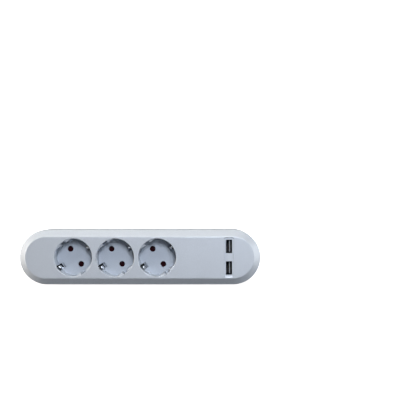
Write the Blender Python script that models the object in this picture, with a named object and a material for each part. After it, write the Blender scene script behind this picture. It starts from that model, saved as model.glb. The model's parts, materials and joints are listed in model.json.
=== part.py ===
"""A desk power strip: three recessed earthed sockets with turning shutters, a two-port USB charger
and an appliance inlet in its left end.

Frame: the origin is on the desk under the middle of the housing, +X runs along the strip from the
inlet to the USB ports, +Y points to the back and +Z up. Everything is in metres.
"""

import math

import bmesh
import bpy
from mathutils import Matrix, Vector

MM = 0.001
GAP = 0.3 * MM

# Housing outline
LENGTH = 244.6 * MM
WIDTH = 55.6 * MM
HEIGHT = 42 * MM
END_RADIUS = WIDTH / 2
STRAIGHT = LENGTH / 2 - END_RADIUS
CHAMFER = 6.75 * MM
WALL = 2.2 * MM
END_STEPS = 20

# Levels
FOOT_HEIGHT = 1.5 * MM
BASE_THICK = 2 * MM
BASE_TOP = FOOT_HEIGHT + BASE_THICK
FACE_UNDER = HEIGHT - WALL
CHAMFER_FOOT = HEIGHT - CHAMFER

# Sockets
SOCKET_XS = (-67.05 * MM, -24.8 * MM, 17.6 * MM)
RECESS_RADIUS = 19.25 * MM
RECESS_DEPTH = 17.5 * MM
RECESS_FLOOR = HEIGHT - RECESS_DEPTH
RECESS_STEPS = 56
CUP_RADIUS = 20.6 * MM
CUP_SLOPE = 0.9 * MM
CUP_FLOOR = 2.5 * MM
CUP_UNDER = RECESS_FLOOR - CUP_FLOOR
FLAT_DISTANCE = 16.7 * MM
NOTCH_WIDTH = 5.9 * MM
NOTCH_REACH = 19 * MM
PIN_PITCH = 19 * MM
PIN_HOLE_RADIUS = 2.95 * MM
PIN_HOLE_RELIEF = 0.9 * MM
PIN_HOLE_LIP = 1.2 * MM
PIN_ANGLE = math.radians(-54.9)
EARTH_ANGLE = math.radians(35.1)
PIN_X = PIN_PITCH / 2 * math.cos(PIN_ANGLE)
PIN_Y = -PIN_PITCH / 2 * math.sin(PIN_ANGLE)

# Earth clips
CLIP_SLOT_WIDTH = 5.8 * MM
CLIP_SLOT_INNER = 14 * MM
CLIP_WIDTH = 4.4 * MM
CLIP_THICK = 0.8 * MM
SHELF_INNER = 13.2 * MM
SHELF_OUTER = 16.4 * MM
SHELF_HALF = 3.7 * MM
SHELF_FOOT = 18.8 * MM
SHELF_TOP = 20 * MM
EARTH_LEVEL = 12 * MM

# Shutters
POST_RADIUS = 2 * MM
SHUTTER_LOW = 19.4 * MM
SHUTTER_HIGH = 21.2 * MM
PAD_RADIUS = 3.3 * MM
RAMP_DEPTH = 1.1 * MM
RAMP_START = 5.4 * MM
HUB_RADIUS = 4.4 * MM
SPRING_RADIUS = 3.9 * MM
SPRING_WIRE = 0.25 * MM
SPRING_TURNS = 2
SPRING_STEPS = 12
SPRING_LOW = 17.55 * MM
SPRING_HIGH = 18.85 * MM
SPRING_LOWER_LEG = 2 * MM
SPRING_UPPER_LEG = 6 * MM
SPRING_HOLE_FOOT = 15.5 * MM

# Contacts and their carrier
BUSBAR_LEVEL = 4.2 * MM
BUSBAR_THICK = 0.8 * MM
BUSBAR_WIDTH = 5 * MM
BUSBAR_ENDS = (-84 * MM, 34 * MM)
LEAF_TOP = 15.8 * MM
LEAF_THICK = 0.7 * MM
LEAF_EDGE = 0.2 * MM
CARRIER_ENDS = (-85.5 * MM, 36 * MM)
CARRIER_HALF_WIDTH = 11.6 * MM
CARRIER_TOP = 18.2 * MM
CARRIER_FOOT = 3.8 * MM
CHANNEL_WIDTH = 6 * MM
CHANNEL_TOP = 16.4 * MM
CARRIER_SCREW_XS = (-45.9 * MM, -3.6 * MM)
CARRIER_SEAT = 10 * MM
WELL_RADIUS = 5.3 * MM
WELL_FLOOR = CARRIER_TOP - 1.2 * MM
PIN_PASSAGE = 3.2 * MM
SPRING_HOLE = 0.65 * MM
CLIP_NOTCH = (20 * MM, 26 * MM)
CLIP_NOTCH_HALF = 3 * MM
CARRIER_WEB = 2 * MM
PILLAR_RADIUS = 2.6 * MM

# USB charger
USB_X = 90.15 * MM
USB_YS = (11.25 * MM, -10.45 * MM)
BEZEL_SIZE = (9.3 * MM, 40.7 * MM)
BEZEL_RECESS = 0.8 * MM
BEZEL_THICK = 2.6 * MM
BEZEL_CORNER = 1.8 * MM
PORT_SIZE = (6 * MM, 13.2 * MM)
SHELL_SIZE = (5.7 * MM, 12.9 * MM)
SHELL_WALL = 0.3 * MM
SHELL_TOP = 40.9 * MM
BOARD_LOW = 25.1 * MM
BOARD_HIGH = 26.7 * MM
BOARD_ENDS = (47 * MM, 113 * MM)
BOARD_HALF_WIDTH = 16.5 * MM
BOARD_SCREWS = ((52 * MM, 13 * MM), (52 * MM, -13 * MM), (109.5 * MM, 0))
TONGUE_X = 0.5 * MM
TONGUE_THICK = 1.8 * MM
TONGUE_WIDTH = 11.1 * MM
TRANSFORMER_X = 70 * MM
TRANSFORMER_CORE = (13 * MM, 19 * MM)
TRANSFORMER_HEIGHT = 14 * MM
TRANSFORMER_LEG = 6.4 * MM
TRANSFORMER_YOKE = 3 * MM
TRANSFORMER_LIMB = 2.4 * MM
FUSE_X = 52 * MM
FUSE_Z = 20.5 * MM
FUSE_RADIUS = 2.6 * MM
FUSE_HALF_LENGTH = 5 * MM
RECTIFIER_PLACE = (98 * MM, 9 * MM)
RECTIFIER_SIZE = (6 * MM, 8 * MM, 3 * MM)

# Appliance inlet
INLET_Z = 18.5 * MM
POCKET_X = -115.2 * MM
POCKET_HALF_WIDTH = 15.8 * MM
POCKET_LOW = 6.2 * MM
POCKET_HIGH = 31.5 * MM
FLANGE_SIZE = (30.7 * MM, 22.6 * MM)
FLANGE_THICK = 2.2 * MM
INLET_BODY = (27 * MM, 19.6 * MM)
INLET_CAVITY = (24.9 * MM, 16.9 * MM)
INLET_CUT = 4.5 * MM
INLET_BACK = -96.5 * MM
INLET_CAVITY_BACK = -99.4 * MM
INLET_PIN = (2 * MM, 4 * MM)
INLET_PIN_TIP = -113.4 * MM
INLET_PIN_TAIL = -92.6 * MM
INLET_PITCH = 14 * MM
INLET_EARTH_RISE = 4 * MM

LEAD_RADIUS = 1.2 * MM

# Fasteners and feet
BOSS_RADIUS = 3 * MM
SCREW_RADIUS = 1.2 * MM
SCREW_HOLE = 1.5 * MM
HEAD_RADIUS = 2.5 * MM
HEAD_HEIGHT = 1.3 * MM
DRIVE_WIDTH = 0.7 * MM
DRIVE_DEPTH = 0.6 * MM
HOUSING_HOLE_DEPTH = 12 * MM
BOARD_HOLE_DEPTH = 9 * MM
COUNTERBORE = 1.4 * MM
HOUSING_SCREWS = [(x * MM, side * 22.9 * MM) for x in (-90, -3.6, 78) for side in (1, -1)]
FOOT_RADIUS = 6 * MM
FEET = [(x * MM, side * 13 * MM) for x in (-88, 88) for side in (1, -1)]


# ------------------------------------------------------------------ helpers


def clear_scene():
    for obj in list(bpy.data.objects):
        bpy.data.objects.remove(obj, do_unlink=True)


def material(name, color, roughness, metallic=0.0):
    made = bpy.data.materials.new(name)
    made.use_nodes = True
    shader = made.node_tree.nodes["Principled BSDF"]
    shader.inputs["Base Color"].default_value = (*color, 1)
    shader.inputs["Roughness"].default_value = roughness
    shader.inputs["Metallic"].default_value = metallic
    return made


def object_of(bm, name, finish=None):
    """The bmesh as a linked object, its normals out and its curved sides shaded smooth."""
    bmesh.ops.recalc_face_normals(bm, faces=bm.faces)
    mesh = bpy.data.meshes.new(name)
    bm.to_mesh(mesh)
    bm.free()
    mesh.shade_smooth()
    mesh.set_sharp_from_angle(angle=math.radians(30))
    obj = bpy.data.objects.new(name, mesh)
    bpy.context.scene.collection.objects.link(obj)
    if finish:
        mesh.materials.append(finish)
    return obj


def helper(obj):
    """Marks a cutter or an operand of a union, which isn't a piece of the strip."""
    obj.hide_render = True
    obj.display_type = "WIRE"
    return obj


def combine(obj, other, operation):
    modifier = obj.modifiers.new(f"{operation.lower()}_{other.name}", "BOOLEAN")
    modifier.operation = operation
    modifier.solver = "EXACT"
    modifier.object = helper(other)
    return obj


def cut(obj, bm):
    return combine(obj, object_of(bm, f"{obj.name}_cut_{len(obj.modifiers)}"), "DIFFERENCE")


def join(obj, bm):
    return combine(obj, object_of(bm, f"{obj.name}_join_{len(obj.modifiers)}"), "UNION")


def loft(rings, bm=None):
    """A closed solid through rings of points, each ring a list of 3-D points in the same order."""
    bm = bm or bmesh.new()
    made = [[bm.verts.new(point) for point in ring] for ring in rings]
    for lower, upper in zip(made, made[1:]):
        for i, corner in enumerate(lower):
            j = (i + 1) % len(lower)
            bm.faces.new((corner, lower[j], upper[j], upper[i]))
    bm.faces.new(reversed(made[0]))
    bm.faces.new(made[-1])
    return bm


def prism(outline, low, high, bm=None):
    """The outline's (x, y) points extruded from one height to another."""
    return loft([[(x, y, z) for x, y in outline] for z in (low, high)], bm)


def arc(center, radius, start, end, steps):
    """Points on an arc, both ends included, by angle in radians."""
    angles = [start + (end - start) * i / steps for i in range(steps + 1)]
    return [(center[0] + radius * math.cos(a), center[1] + radius * math.sin(a)) for a in angles]


def circle(center, radius, steps):
    return arc(center, radius, 0, 2 * math.pi * (steps - 1) / steps, steps - 1)


def turned_solid(center, profile, steps, bm=None):
    """A round solid from (height, radius) pairs, bottom to top."""
    return loft([[(x, y, z) for x, y in circle(center, radius, steps)] for z, radius in profile], bm)


def rectangle(x_low, x_high, y_low, y_high):
    return [(x_low, y_low), (x_high, y_low), (x_high, y_high), (x_low, y_high)]


def centred(center, size):
    half_x, half_y = size[0] / 2, size[1] / 2
    return rectangle(center[0] - half_x, center[0] + half_x, center[1] - half_y, center[1] + half_y)


def rounded(center, size, radius, steps=4):
    """A rectangle with round corners."""
    half_x, half_y = size[0] / 2 - radius, size[1] / 2 - radius
    points = []
    for turn, (sign_x, sign_y) in enumerate(((1, 1), (-1, 1), (-1, -1), (1, -1))):
        corner = (center[0] + sign_x * half_x, center[1] + sign_y * half_y)
        start = turn * math.pi / 2
        points += arc(corner, radius, start, start + math.pi / 2, steps)
    return points


def stadium(radius):
    """The housing's outline, drawn in or out to this end radius."""
    right = arc((STRAIGHT, 0), radius, -math.pi / 2, math.pi / 2, END_STEPS)
    left = arc((-STRAIGHT, 0), radius, math.pi / 2, 3 * math.pi / 2, END_STEPS)
    return right + left


def turned(points, angle, center=(0, 0)):
    """Points turned about the origin, then moved to a centre."""
    c, s = math.cos(angle), math.sin(angle)
    return [(center[0] + c * x - s * y, center[1] + s * x + c * y) for x, y in points]


def along_x(bm):
    """Turns a solid drawn as (y, z) points with its height along X into place."""
    spin = Matrix(((0, 0, 1, 0), (1, 0, 0, 0), (0, 1, 0, 0), (0, 0, 0, 1)))
    bmesh.ops.transform(bm, matrix=spin, verts=bm.verts)
    return bm


def ribbon(path, thick):
    """The outline of a bent strip of even thickness, whose middle follows the path."""
    left, right = [], []
    for i, point in enumerate(path):
        before = Vector(path[max(i - 1, 0)])
        after = Vector(path[min(i + 1, len(path) - 1)])
        way = (after - before).normalized()
        side = Vector((-way.y, way.x)) * thick / 2
        left.append(tuple(Vector(point) + side))
        right.append(tuple(Vector(point) - side))
    return left + right[::-1]


def smooth_path(points, steps):
    """A Catmull-Rom curve through the points, with this many steps between each two."""
    ends = [2 * points[0] - points[1], *points, 2 * points[-1] - points[-2]]
    path = []
    for a, b, c, d in zip(ends, ends[1:], ends[2:], ends[3:]):
        for k in range(steps):
            t = k / steps
            straight = 2 * b + (c - a) * t
            bend = (2 * a - 5 * b + 4 * c - d) * t**2 + (3 * b - a - 3 * c + d) * t**3
            path.append((straight + bend) / 2)
    return path + [points[-1]]


def wire(name, path, radius, finish, resolution=2):
    """A round wire along a path of points, with closed ends."""
    curve = bpy.data.curves.new(name, "CURVE")
    curve.dimensions = "3D"
    curve.bevel_depth = radius
    curve.bevel_resolution = resolution
    curve.use_fill_caps = True
    spline = curve.splines.new("POLY")
    spline.points.add(len(path) - 1)
    for target, point in zip(spline.points, path):
        target.co = (*point, 1)
    curve.materials.append(finish)
    obj = bpy.data.objects.new(name, curve)
    bpy.context.scene.collection.objects.link(obj)
    return obj


def on_center(name, center):
    """An empty on a socket's centre line, the shutter's joint axis."""
    empty = bpy.data.objects.new(name, None)
    empty.location = (*center, 0)
    bpy.context.scene.collection.objects.link(empty)
    return empty


# ------------------------------------------------------------------ housing


def recess_outline(center, grow=0.0):
    """The plug recess seen from above: a circle with two flats across the pins, each with a notch."""
    radius = RECESS_RADIUS + grow
    flat = FLAT_DISTANCE + grow
    notch = NOTCH_REACH + grow
    half = NOTCH_WIDTH / 2 + grow
    corner = math.acos(flat / radius)
    points = []
    for side in (0, math.pi):
        tab = [(flat, -half), (notch, -half), (notch, half), (flat, half)]
        points += turned(tab, side)
        points += arc((0, 0), radius, side + corner, side + math.pi - corner, RECESS_STEPS // 2)
    return turned(points, PIN_ANGLE, center)


def top_cover(finish):
    """The shell: chamfered face, walls down to the base plate, bosses and the inlet's pocket."""
    outline = stadium(END_RADIUS)
    rings = [
        [(x, y, FOOT_HEIGHT) for x, y in outline],
        [(x, y, CHAMFER_FOOT) for x, y in outline],
        [(x, y, HEIGHT) for x, y in stadium(END_RADIUS - CHAMFER)],
    ]
    cover = object_of(loft(rings), "top_cover", finish)

    inner = stadium(END_RADIUS - WALL)
    slope = WALL * math.tan(math.radians(22.5))
    rings = [
        [(x, y, FOOT_HEIGHT - MM) for x, y in inner],
        [(x, y, CHAMFER_FOOT - slope) for x, y in inner],
        [(x, y, FACE_UNDER) for x, y in stadium(END_RADIUS - CHAMFER - slope)],
    ]
    hollow = object_of(loft(rings), "hollow_of_top_cover")
    half = POCKET_HALF_WIDTH + WALL
    pocket_wall = rectangle(-LENGTH, POCKET_X + WALL, -half, half)
    cut(hollow, prism(pocket_wall, POCKET_LOW - WALL, POCKET_HIGH + WALL))
    boss_foot = BASE_TOP + GAP
    bosses = bmesh.new()
    for center in HOUSING_SCREWS:
        prism(circle(center, BOSS_RADIUS, 16), boss_foot, HEIGHT, bosses)
    for center in BOARD_SCREWS:
        prism(circle(center, BOSS_RADIUS, 16), BOARD_HIGH + GAP, HEIGHT, bosses)
    cut(hollow, bosses)
    combine(cover, hollow, "DIFFERENCE")

    pocket = rectangle(-LENGTH, POCKET_X, -POCKET_HALF_WIDTH, POCKET_HALF_WIDTH)
    cut(cover, prism(pocket, POCKET_LOW, POCKET_HIGH))
    openings = bmesh.new()
    for x in SOCKET_XS:
        prism(recess_outline((x, 0)), FACE_UNDER - MM, HEIGHT + MM, openings)
    bezel = (BEZEL_SIZE[0] + 2 * GAP, BEZEL_SIZE[1] + 2 * GAP)
    prism(rounded((USB_X, 0), bezel, BEZEL_CORNER), FACE_UNDER - MM, HEIGHT + MM, openings)
    for center in HOUSING_SCREWS:
        prism(circle(center, SCREW_HOLE, 12), 0, boss_foot + HOUSING_HOLE_DEPTH, openings)
    for center in BOARD_SCREWS:
        prism(circle(center, SCREW_HOLE, 12), BOARD_LOW, BOARD_HIGH + BOARD_HOLE_DEPTH, openings)
    cut(cover, openings)
    body = (INLET_BODY[0] + 2 * GAP, INLET_BODY[1] + 2 * GAP)
    cut(cover, along_x(prism(centred((0, INLET_Z), body), POCKET_X - MM, POCKET_X + 2 * WALL)))
    return cover


def base_plate(finish):
    plate = object_of(prism(stadium(END_RADIUS - WALL - GAP), FOOT_HEIGHT, BASE_TOP), "base_plate", finish)
    pillars = bmesh.new()
    pillar_top = CARRIER_SEAT - CARRIER_WEB - GAP
    for x in CARRIER_SCREW_XS:
        prism(circle((x, 0), PILLAR_RADIUS, 16), FOOT_HEIGHT + MM, pillar_top, pillars)
    join(plate, pillars)
    holes = bmesh.new()
    for center in HOUSING_SCREWS:
        floor = FOOT_HEIGHT + COUNTERBORE
        profile = [
            (0, HEAD_RADIUS + 2 * GAP),
            (floor, HEAD_RADIUS + 2 * GAP),
            (floor, SCREW_HOLE),
            (BASE_TOP + MM, SCREW_HOLE),
        ]
        turned_solid(center, profile, 16, holes)
    for x in CARRIER_SCREW_XS:
        prism(circle((x, 0), SCREW_HOLE, 12), BASE_TOP - MM, CARRIER_SEAT, holes)
    return cut(plate, holes)


def foot(number, center, finish):
    """A stick-on rubber foot with a bevelled lower edge."""
    bevel = 0.4 * MM
    profile = [(0, FOOT_RADIUS - bevel), (bevel, FOOT_RADIUS), (FOOT_HEIGHT - GAP, FOOT_RADIUS)]
    return object_of(turned_solid(center, profile, 20), f"foot_{number}", finish)


def screw(name, center, seat, length, direction, finish):
    """A pan-head screw whose head's underside is at the height seat, its shank running up or down."""
    head = sorted((seat, seat - direction * HEAD_HEIGHT))
    shank = sorted((seat - direction * HEAD_HEIGHT / 2, seat + direction * length))
    made = object_of(prism(circle(center, HEAD_RADIUS, 14), *head), name, finish)
    join(made, prism(circle(center, SCREW_RADIUS, 10), *shank))
    slot_size = (HEAD_RADIUS, DRIVE_WIDTH)
    face = seat - direction * HEAD_HEIGHT
    depth = sorted((face - direction * MM, face + direction * DRIVE_DEPTH))
    cross = object_of(prism(centred(center, slot_size), *depth), f"{name}_drive")
    join(cross, prism(centred(center, slot_size[::-1]), *depth))
    return combine(made, cross, "DIFFERENCE")


# ------------------------------------------------------------------ sockets


def socket_cup(number, center, finish):
    """The insulating cup under the face, with the shutter's post, pin holes and earth slots."""
    top = FACE_UNDER - GAP
    profile = [(CUP_UNDER, CUP_RADIUS), (top - CUP_SLOPE, CUP_RADIUS), (top, CUP_RADIUS - CUP_SLOPE)]
    cup = object_of(turned_solid(center, profile, RECESS_STEPS), f"socket_cup_{number}", finish)
    join(cup, prism(circle(center, POST_RADIUS, 16), WELL_FLOOR + GAP, CUP_UNDER + MM))
    for turn in (0, math.pi):
        shelf = rectangle(SHELF_INNER, SHELF_OUTER + MM / 2, -SHELF_HALF, SHELF_HALF)
        join(cup, prism(turned(shelf, EARTH_ANGLE + turn, center), SHELF_FOOT, CUP_UNDER + MM))
    cut(cup, prism(recess_outline(center), RECESS_FLOOR, HEIGHT))
    holes = bmesh.new()
    slots = bmesh.new()
    wide = PIN_HOLE_RADIUS + PIN_HOLE_RELIEF
    lip = RECESS_FLOOR - PIN_HOLE_LIP
    profile = [
        (CUP_UNDER - MM, wide),
        (lip, wide),
        (lip, PIN_HOLE_RADIUS),
        (RECESS_FLOOR + MM, PIN_HOLE_RADIUS),
    ]
    half = CLIP_SLOT_WIDTH / 2
    for turn in (0, math.pi):
        pin = turned([(PIN_PITCH / 2, 0)], PIN_ANGLE + turn, center)[0]
        turned_solid(pin, profile, 20, holes)
        pocket = rectangle(CLIP_SLOT_INNER, SHELF_OUTER + MM, -half, half)
        prism(turned(pocket, EARTH_ANGLE + turn, center), SHELF_TOP, HEIGHT, holes)
        slot = rectangle(SHELF_OUTER, CUP_RADIUS + MM, -half, half)
        prism(turned(slot, EARTH_ANGLE + turn, center), SHELF_FOOT - MM, HEIGHT, slots)
    cut(cup, holes)
    return cut(cup, slots)


def shutter(number, center, finish):
    """A two-armed shutter whose pads close the pin holes. Plug pins push its ramps aside."""
    pivot = on_center(f"shutter_pivot_{number}", center)
    reach = PIN_PITCH / 2
    ends = arc((reach, 0), PAD_RADIUS, -math.pi / 2, math.pi / 2, 10)
    outline = ends + [(-x, -y) for x, y in ends]
    bar = prism(turned(outline, PIN_ANGLE), SHUTTER_LOW, SHUTTER_HIGH)
    made = object_of(bar, f"shutter_{number}", finish)
    join(made, prism(circle((0, 0), HUB_RADIUS, 20), SHUTTER_LOW, SHUTTER_HIGH))
    cutter = prism(circle((0, 0), POST_RADIUS + GAP, 16), SHUTTER_LOW - MM, SHUTTER_HIGH + MM)
    lead = SHUTTER_HIGH - RAMP_DEPTH
    above = SHUTTER_HIGH + MM
    rise = PAD_RADIUS * (1 + MM / RAMP_DEPTH)
    edge = -PAD_RADIUS - GAP
    wedge = [(edge, lead - GAP / 3), (rise - PAD_RADIUS, above), (edge, above)]
    for side in (0, math.pi):
        rings = []
        for x in (RAMP_START, PIN_PITCH):
            flat = turned([(x, y) for y, _ in wedge], PIN_ANGLE + side)
            rings.append([(px, py, z) for (px, py), (_, z) in zip(flat, wedge)])
        loft(rings, cutter)
    cut(made, cutter)
    made.parent = pivot
    for modifier in made.modifiers:
        modifier.object.parent = pivot
    return made


def shutter_spring(number, center, finish):
    """A torsion spring round the post: its lower leg is in the carrier, its upper one beside an arm."""
    count = SPRING_TURNS * SPRING_STEPS
    path = []
    for k in range(count + 1):
        angle = PIN_ANGLE + math.pi / 2 - 2 * math.pi * k / SPRING_STEPS
        height = SPRING_LOW + (SPRING_HIGH - SPRING_LOW) * k / count
        x, y = turned([(SPRING_RADIUS, 0)], angle, center)[0]
        path.append(Vector((x, y, height)))
    along = Vector((math.cos(PIN_ANGLE), math.sin(PIN_ANGLE), 0))
    fixed = path[0] - along * SPRING_LOWER_LEG
    moving = path[-1] + along * SPRING_UPPER_LEG
    lower_end = Vector((fixed.x, fixed.y, SPRING_HOLE_FOOT + GAP))
    upper_end = Vector((moving.x, moving.y, SHUTTER_LOW + MM))
    path = [lower_end, fixed, *path, moving, upper_end]
    return wire(f"shutter_spring_{number}", path, SPRING_WIRE, finish, 1)


# ------------------------------------------------------------------ contacts


def pin_busbar(name, side, finish):
    """A stamped strip under one row of pins, with a pair of spring leaves for each pin."""
    y = side * PIN_Y
    strip = rectangle(*BUSBAR_ENDS, y - BUSBAR_WIDTH / 2, y + BUSBAR_WIDTH / 2)
    bar = object_of(prism(strip, BUSBAR_LEVEL, BUSBAR_LEVEL + BUSBAR_THICK), name, finish)
    root = BUSBAR_LEVEL + BUSBAR_THICK / 2
    leaves = bmesh.new()
    for x in SOCKET_XS:
        pin_x = x - side * PIN_X
        for way in (1, -1):
            path = [(3.3, root / MM), (3.1, 8), (2.75, 12), (2.8, 13.4), (3.6, LEAF_TOP / MM)]
            outline = ribbon([(pin_x + way * a * MM, z * MM) for a, z in path], LEAF_THICK)
            rings = []
            for edge in (y - BUSBAR_WIDTH / 2 + LEAF_EDGE, y + BUSBAR_WIDTH / 2 - LEAF_EDGE):
                rings.append([(px, edge, pz) for px, pz in outline])
            loft(rings, leaves)
    return join(bar, leaves)


def earth_clip(center, angle, bm):
    """A spring clip that rises beside the cup, bends in through its slot and flares at the top."""
    path = [(21.4, 12.2), (21.4, 24), (18.6, 27.6), (15.8, 31), (15.3, 33), (15.9, 35), (18, 37.6)]
    outline = ribbon([(r * MM, z * MM) for r, z in path], CLIP_THICK)
    rings = []
    for edge in (-CLIP_WIDTH / 2, CLIP_WIDTH / 2):
        flat = turned([(r, edge) for r, _ in outline], angle, center)
        rings.append([(x, y, z) for (x, y), (_, z) in zip(flat, outline)])
    return loft(rings, bm)


def earth_busbar(finish):
    """A flat C-shaped rail around the contact carrier, with two clips for each socket."""
    left, right = -93 * MM, 37 * MM
    inner, outer = 12.3 * MM, 17.5 * MM
    link = left + 4 * MM
    outline = [
        (left, -outer),
        (right, -outer),
        (right, -inner),
        (link, -inner),
        (link, inner),
        (right, inner),
        (right, outer),
        (left, outer),
    ]
    rail = object_of(prism(outline, EARTH_LEVEL, EARTH_LEVEL + CLIP_THICK), "earth_busbar", finish)
    clips = bmesh.new()
    for x in SOCKET_XS:
        for turn in (0, math.pi):
            earth_clip((x, 0), EARTH_ANGLE + turn, clips)
    return join(rail, clips)


def contact_carrier(finish):
    """The insulating block over the pin busbars, open below, with a hole for each plug pin."""
    width = CARRIER_HALF_WIDTH
    block = object_of(
        prism(rectangle(*CARRIER_ENDS, -width, width), CARRIER_FOOT, CARRIER_TOP), "contact_carrier", finish
    )
    channels = bmesh.new()
    for side in (1, -1):
        y = side * PIN_Y
        channel = rectangle(-LENGTH, LENGTH, y - CHANNEL_WIDTH / 2, y + CHANNEL_WIDTH / 2)
        prism(channel, 0, CHANNEL_TOP, channels)
    cut(block, channels)
    wells = bmesh.new()
    for x in SOCKET_XS:
        prism(circle((x, 0), WELL_RADIUS, 24), WELL_FLOOR, CARRIER_TOP + MM, wells)
    cut(block, wells)
    holes = bmesh.new()
    notches = bmesh.new()
    for x in SOCKET_XS:
        for turn in (0, math.pi):
            pin = turned([(PIN_PITCH / 2, 0)], PIN_ANGLE + turn, (x, 0))[0]
            prism(circle(pin, PIN_PASSAGE, 16), CHANNEL_TOP - MM, CARRIER_TOP + MM, holes)
            slot = rectangle(*CLIP_NOTCH, -CLIP_NOTCH_HALF, CLIP_NOTCH_HALF)
            prism(turned(slot, EARTH_ANGLE + turn, (x, 0)), 0, CARRIER_TOP + MM, notches)
        leg = turned([(-SPRING_LOWER_LEG, SPRING_RADIUS)], PIN_ANGLE, (x, 0))[0]
        prism(circle(leg, SPRING_HOLE, 8), SPRING_HOLE_FOOT, CARRIER_TOP + MM, holes)
    for x in CARRIER_SCREW_XS:
        profile = [
            (0, PILLAR_RADIUS + 2 * GAP),
            (CARRIER_SEAT - CARRIER_WEB, PILLAR_RADIUS + 2 * GAP),
            (CARRIER_SEAT - CARRIER_WEB, SCREW_HOLE),
            (CARRIER_SEAT, SCREW_HOLE),
            (CARRIER_SEAT, HEAD_RADIUS + 2 * GAP),
            (CARRIER_TOP + MM, HEAD_RADIUS + 2 * GAP),
        ]
        turned_solid((x, 0), profile, 16, holes)
    cut(block, notches)
    return cut(block, holes)


# ------------------------------------------------------------------ USB charger


def usb_bezel(finish):
    top = HEIGHT - BEZEL_RECESS
    outline = rounded((USB_X, 0), BEZEL_SIZE, BEZEL_CORNER)
    plate = object_of(prism(outline, top - BEZEL_THICK, top), "usb_bezel", finish)
    ports = bmesh.new()
    for y in USB_YS:
        opening = centred((USB_X, y), PORT_SIZE)
        prism(opening, top - BEZEL_THICK - MM, top + MM, ports)
    return cut(plate, ports)


def usb_shell(number, center, finish):
    """The folded steel shell of one port, standing on the board and open at the top."""
    shell = object_of(
        prism(centred(center, SHELL_SIZE), BOARD_HIGH + GAP, SHELL_TOP), f"usb_shell_{number}", finish
    )
    inside = (SHELL_SIZE[0] - 2 * SHELL_WALL, SHELL_SIZE[1] - 2 * SHELL_WALL)
    return cut(shell, prism(centred(center, inside), BOARD_HIGH + 2 * GAP, SHELL_TOP + MM))


def usb_tongue(number, center, finish):
    """The insulator in a shell: a block at the bottom and the tongue that carries the contacts."""
    low = BOARD_HIGH + 3 * GAP
    block = (SHELL_SIZE[0] - 4 * SHELL_WALL, SHELL_SIZE[1] - 4 * SHELL_WALL)
    made = object_of(prism(centred(center, block), low, low + 2 * MM), f"usb_tongue_{number}", finish)
    blade = centred((center[0] + TONGUE_X, center[1]), (TONGUE_THICK, TONGUE_WIDTH))
    return join(made, prism(blade, low + MM, SHELL_TOP - 1.2 * MM))


def charger_board(finish):
    half = BOARD_HALF_WIDTH
    board = object_of(
        prism(rectangle(*BOARD_ENDS, -half, half), BOARD_LOW, BOARD_HIGH), "charger_board", finish
    )
    holes = bmesh.new()
    for center in BOARD_SCREWS:
        prism(circle(center, SCREW_HOLE, 12), BOARD_LOW - MM, BOARD_HIGH + MM, holes)
    return cut(board, holes)


def transformer(core_finish, coil_finish):
    """A ferrite core around a wound bobbin, hanging under the board."""
    top = BOARD_LOW - GAP
    center = (TRANSFORMER_X, 0)
    depth = TRANSFORMER_CORE[0]
    leg = TRANSFORMER_LEG
    yoke = TRANSFORMER_YOKE
    window = (TRANSFORMER_CORE[1] - leg) / 2 - TRANSFORMER_LIMB
    low = top - TRANSFORMER_HEIGHT
    core = object_of(prism(centred(center, TRANSFORMER_CORE), low, top), "transformer_core", core_finish)
    windows = bmesh.new()
    for side in (1, -1):
        middle = (TRANSFORMER_X, side * (leg + window) / 2)
        prism(centred(middle, (2 * depth, window)), low + yoke, top - yoke, windows)
    cut(core, windows)
    coil_size = (depth + 4.6 * MM, leg + 2 * window - 2 * GAP)
    outline = rounded(center, coil_size, 2 * MM)
    coil = object_of(prism(outline, low + yoke + GAP, top - yoke - GAP), "transformer_coil", coil_finish)
    hole = centred(center, (depth + 2 * GAP, leg + 2 * GAP))
    return cut(coil, prism(hole, low, top))


def can_capacitor(name, center, radius, length, finish):
    """An electrolytic can hanging under the board, with a crimped lower end."""
    top = BOARD_LOW - GAP
    groove = 0.4 * MM
    profile = [
        (top - length, radius - groove),
        (top - length + groove, radius),
        (top - 2.4 * MM, radius),
        (top - 2.0 * MM, radius - groove),
        (top - 1.6 * MM, radius),
        (top, radius),
    ]
    return object_of(turned_solid(center, profile, 18), name, finish)


def fuse(finish):
    """A small cylindrical fuse lying along Y under the board."""
    outline = circle((FUSE_X, FUSE_Z), FUSE_RADIUS, 14)
    rings = [[(x, y, z) for x, z in outline] for y in (-FUSE_HALF_LENGTH, FUSE_HALF_LENGTH)]
    return object_of(loft(rings), "fuse", finish)


def rectifier(finish):
    outline = centred(RECTIFIER_PLACE, RECTIFIER_SIZE[:2])
    return object_of(prism(outline, BOARD_LOW - RECTIFIER_SIZE[2], BOARD_LOW - GAP), "rectifier", finish)


# ------------------------------------------------------------------ appliance inlet and leads


def inlet_outline(size, corner):
    """An upright rectangle in (y, z) with its two upper corners cut off."""
    half_y, half_z = size[0] / 2, size[1] / 2
    return [
        (-half_y, INLET_Z - half_z),
        (half_y, INLET_Z - half_z),
        (half_y, INLET_Z + half_z - corner),
        (half_y - corner, INLET_Z + half_z),
        (-half_y + corner, INLET_Z + half_z),
        (-half_y, INLET_Z + half_z - corner),
    ]


def inlet_pin_places():
    """Where each inlet pin's middle is, as (y, z)."""
    return {
        "live": (INLET_PITCH / 2, INLET_Z),
        "neutral": (-INLET_PITCH / 2, INLET_Z),
        "earth": (0, INLET_Z + INLET_EARTH_RISE),
    }


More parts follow.
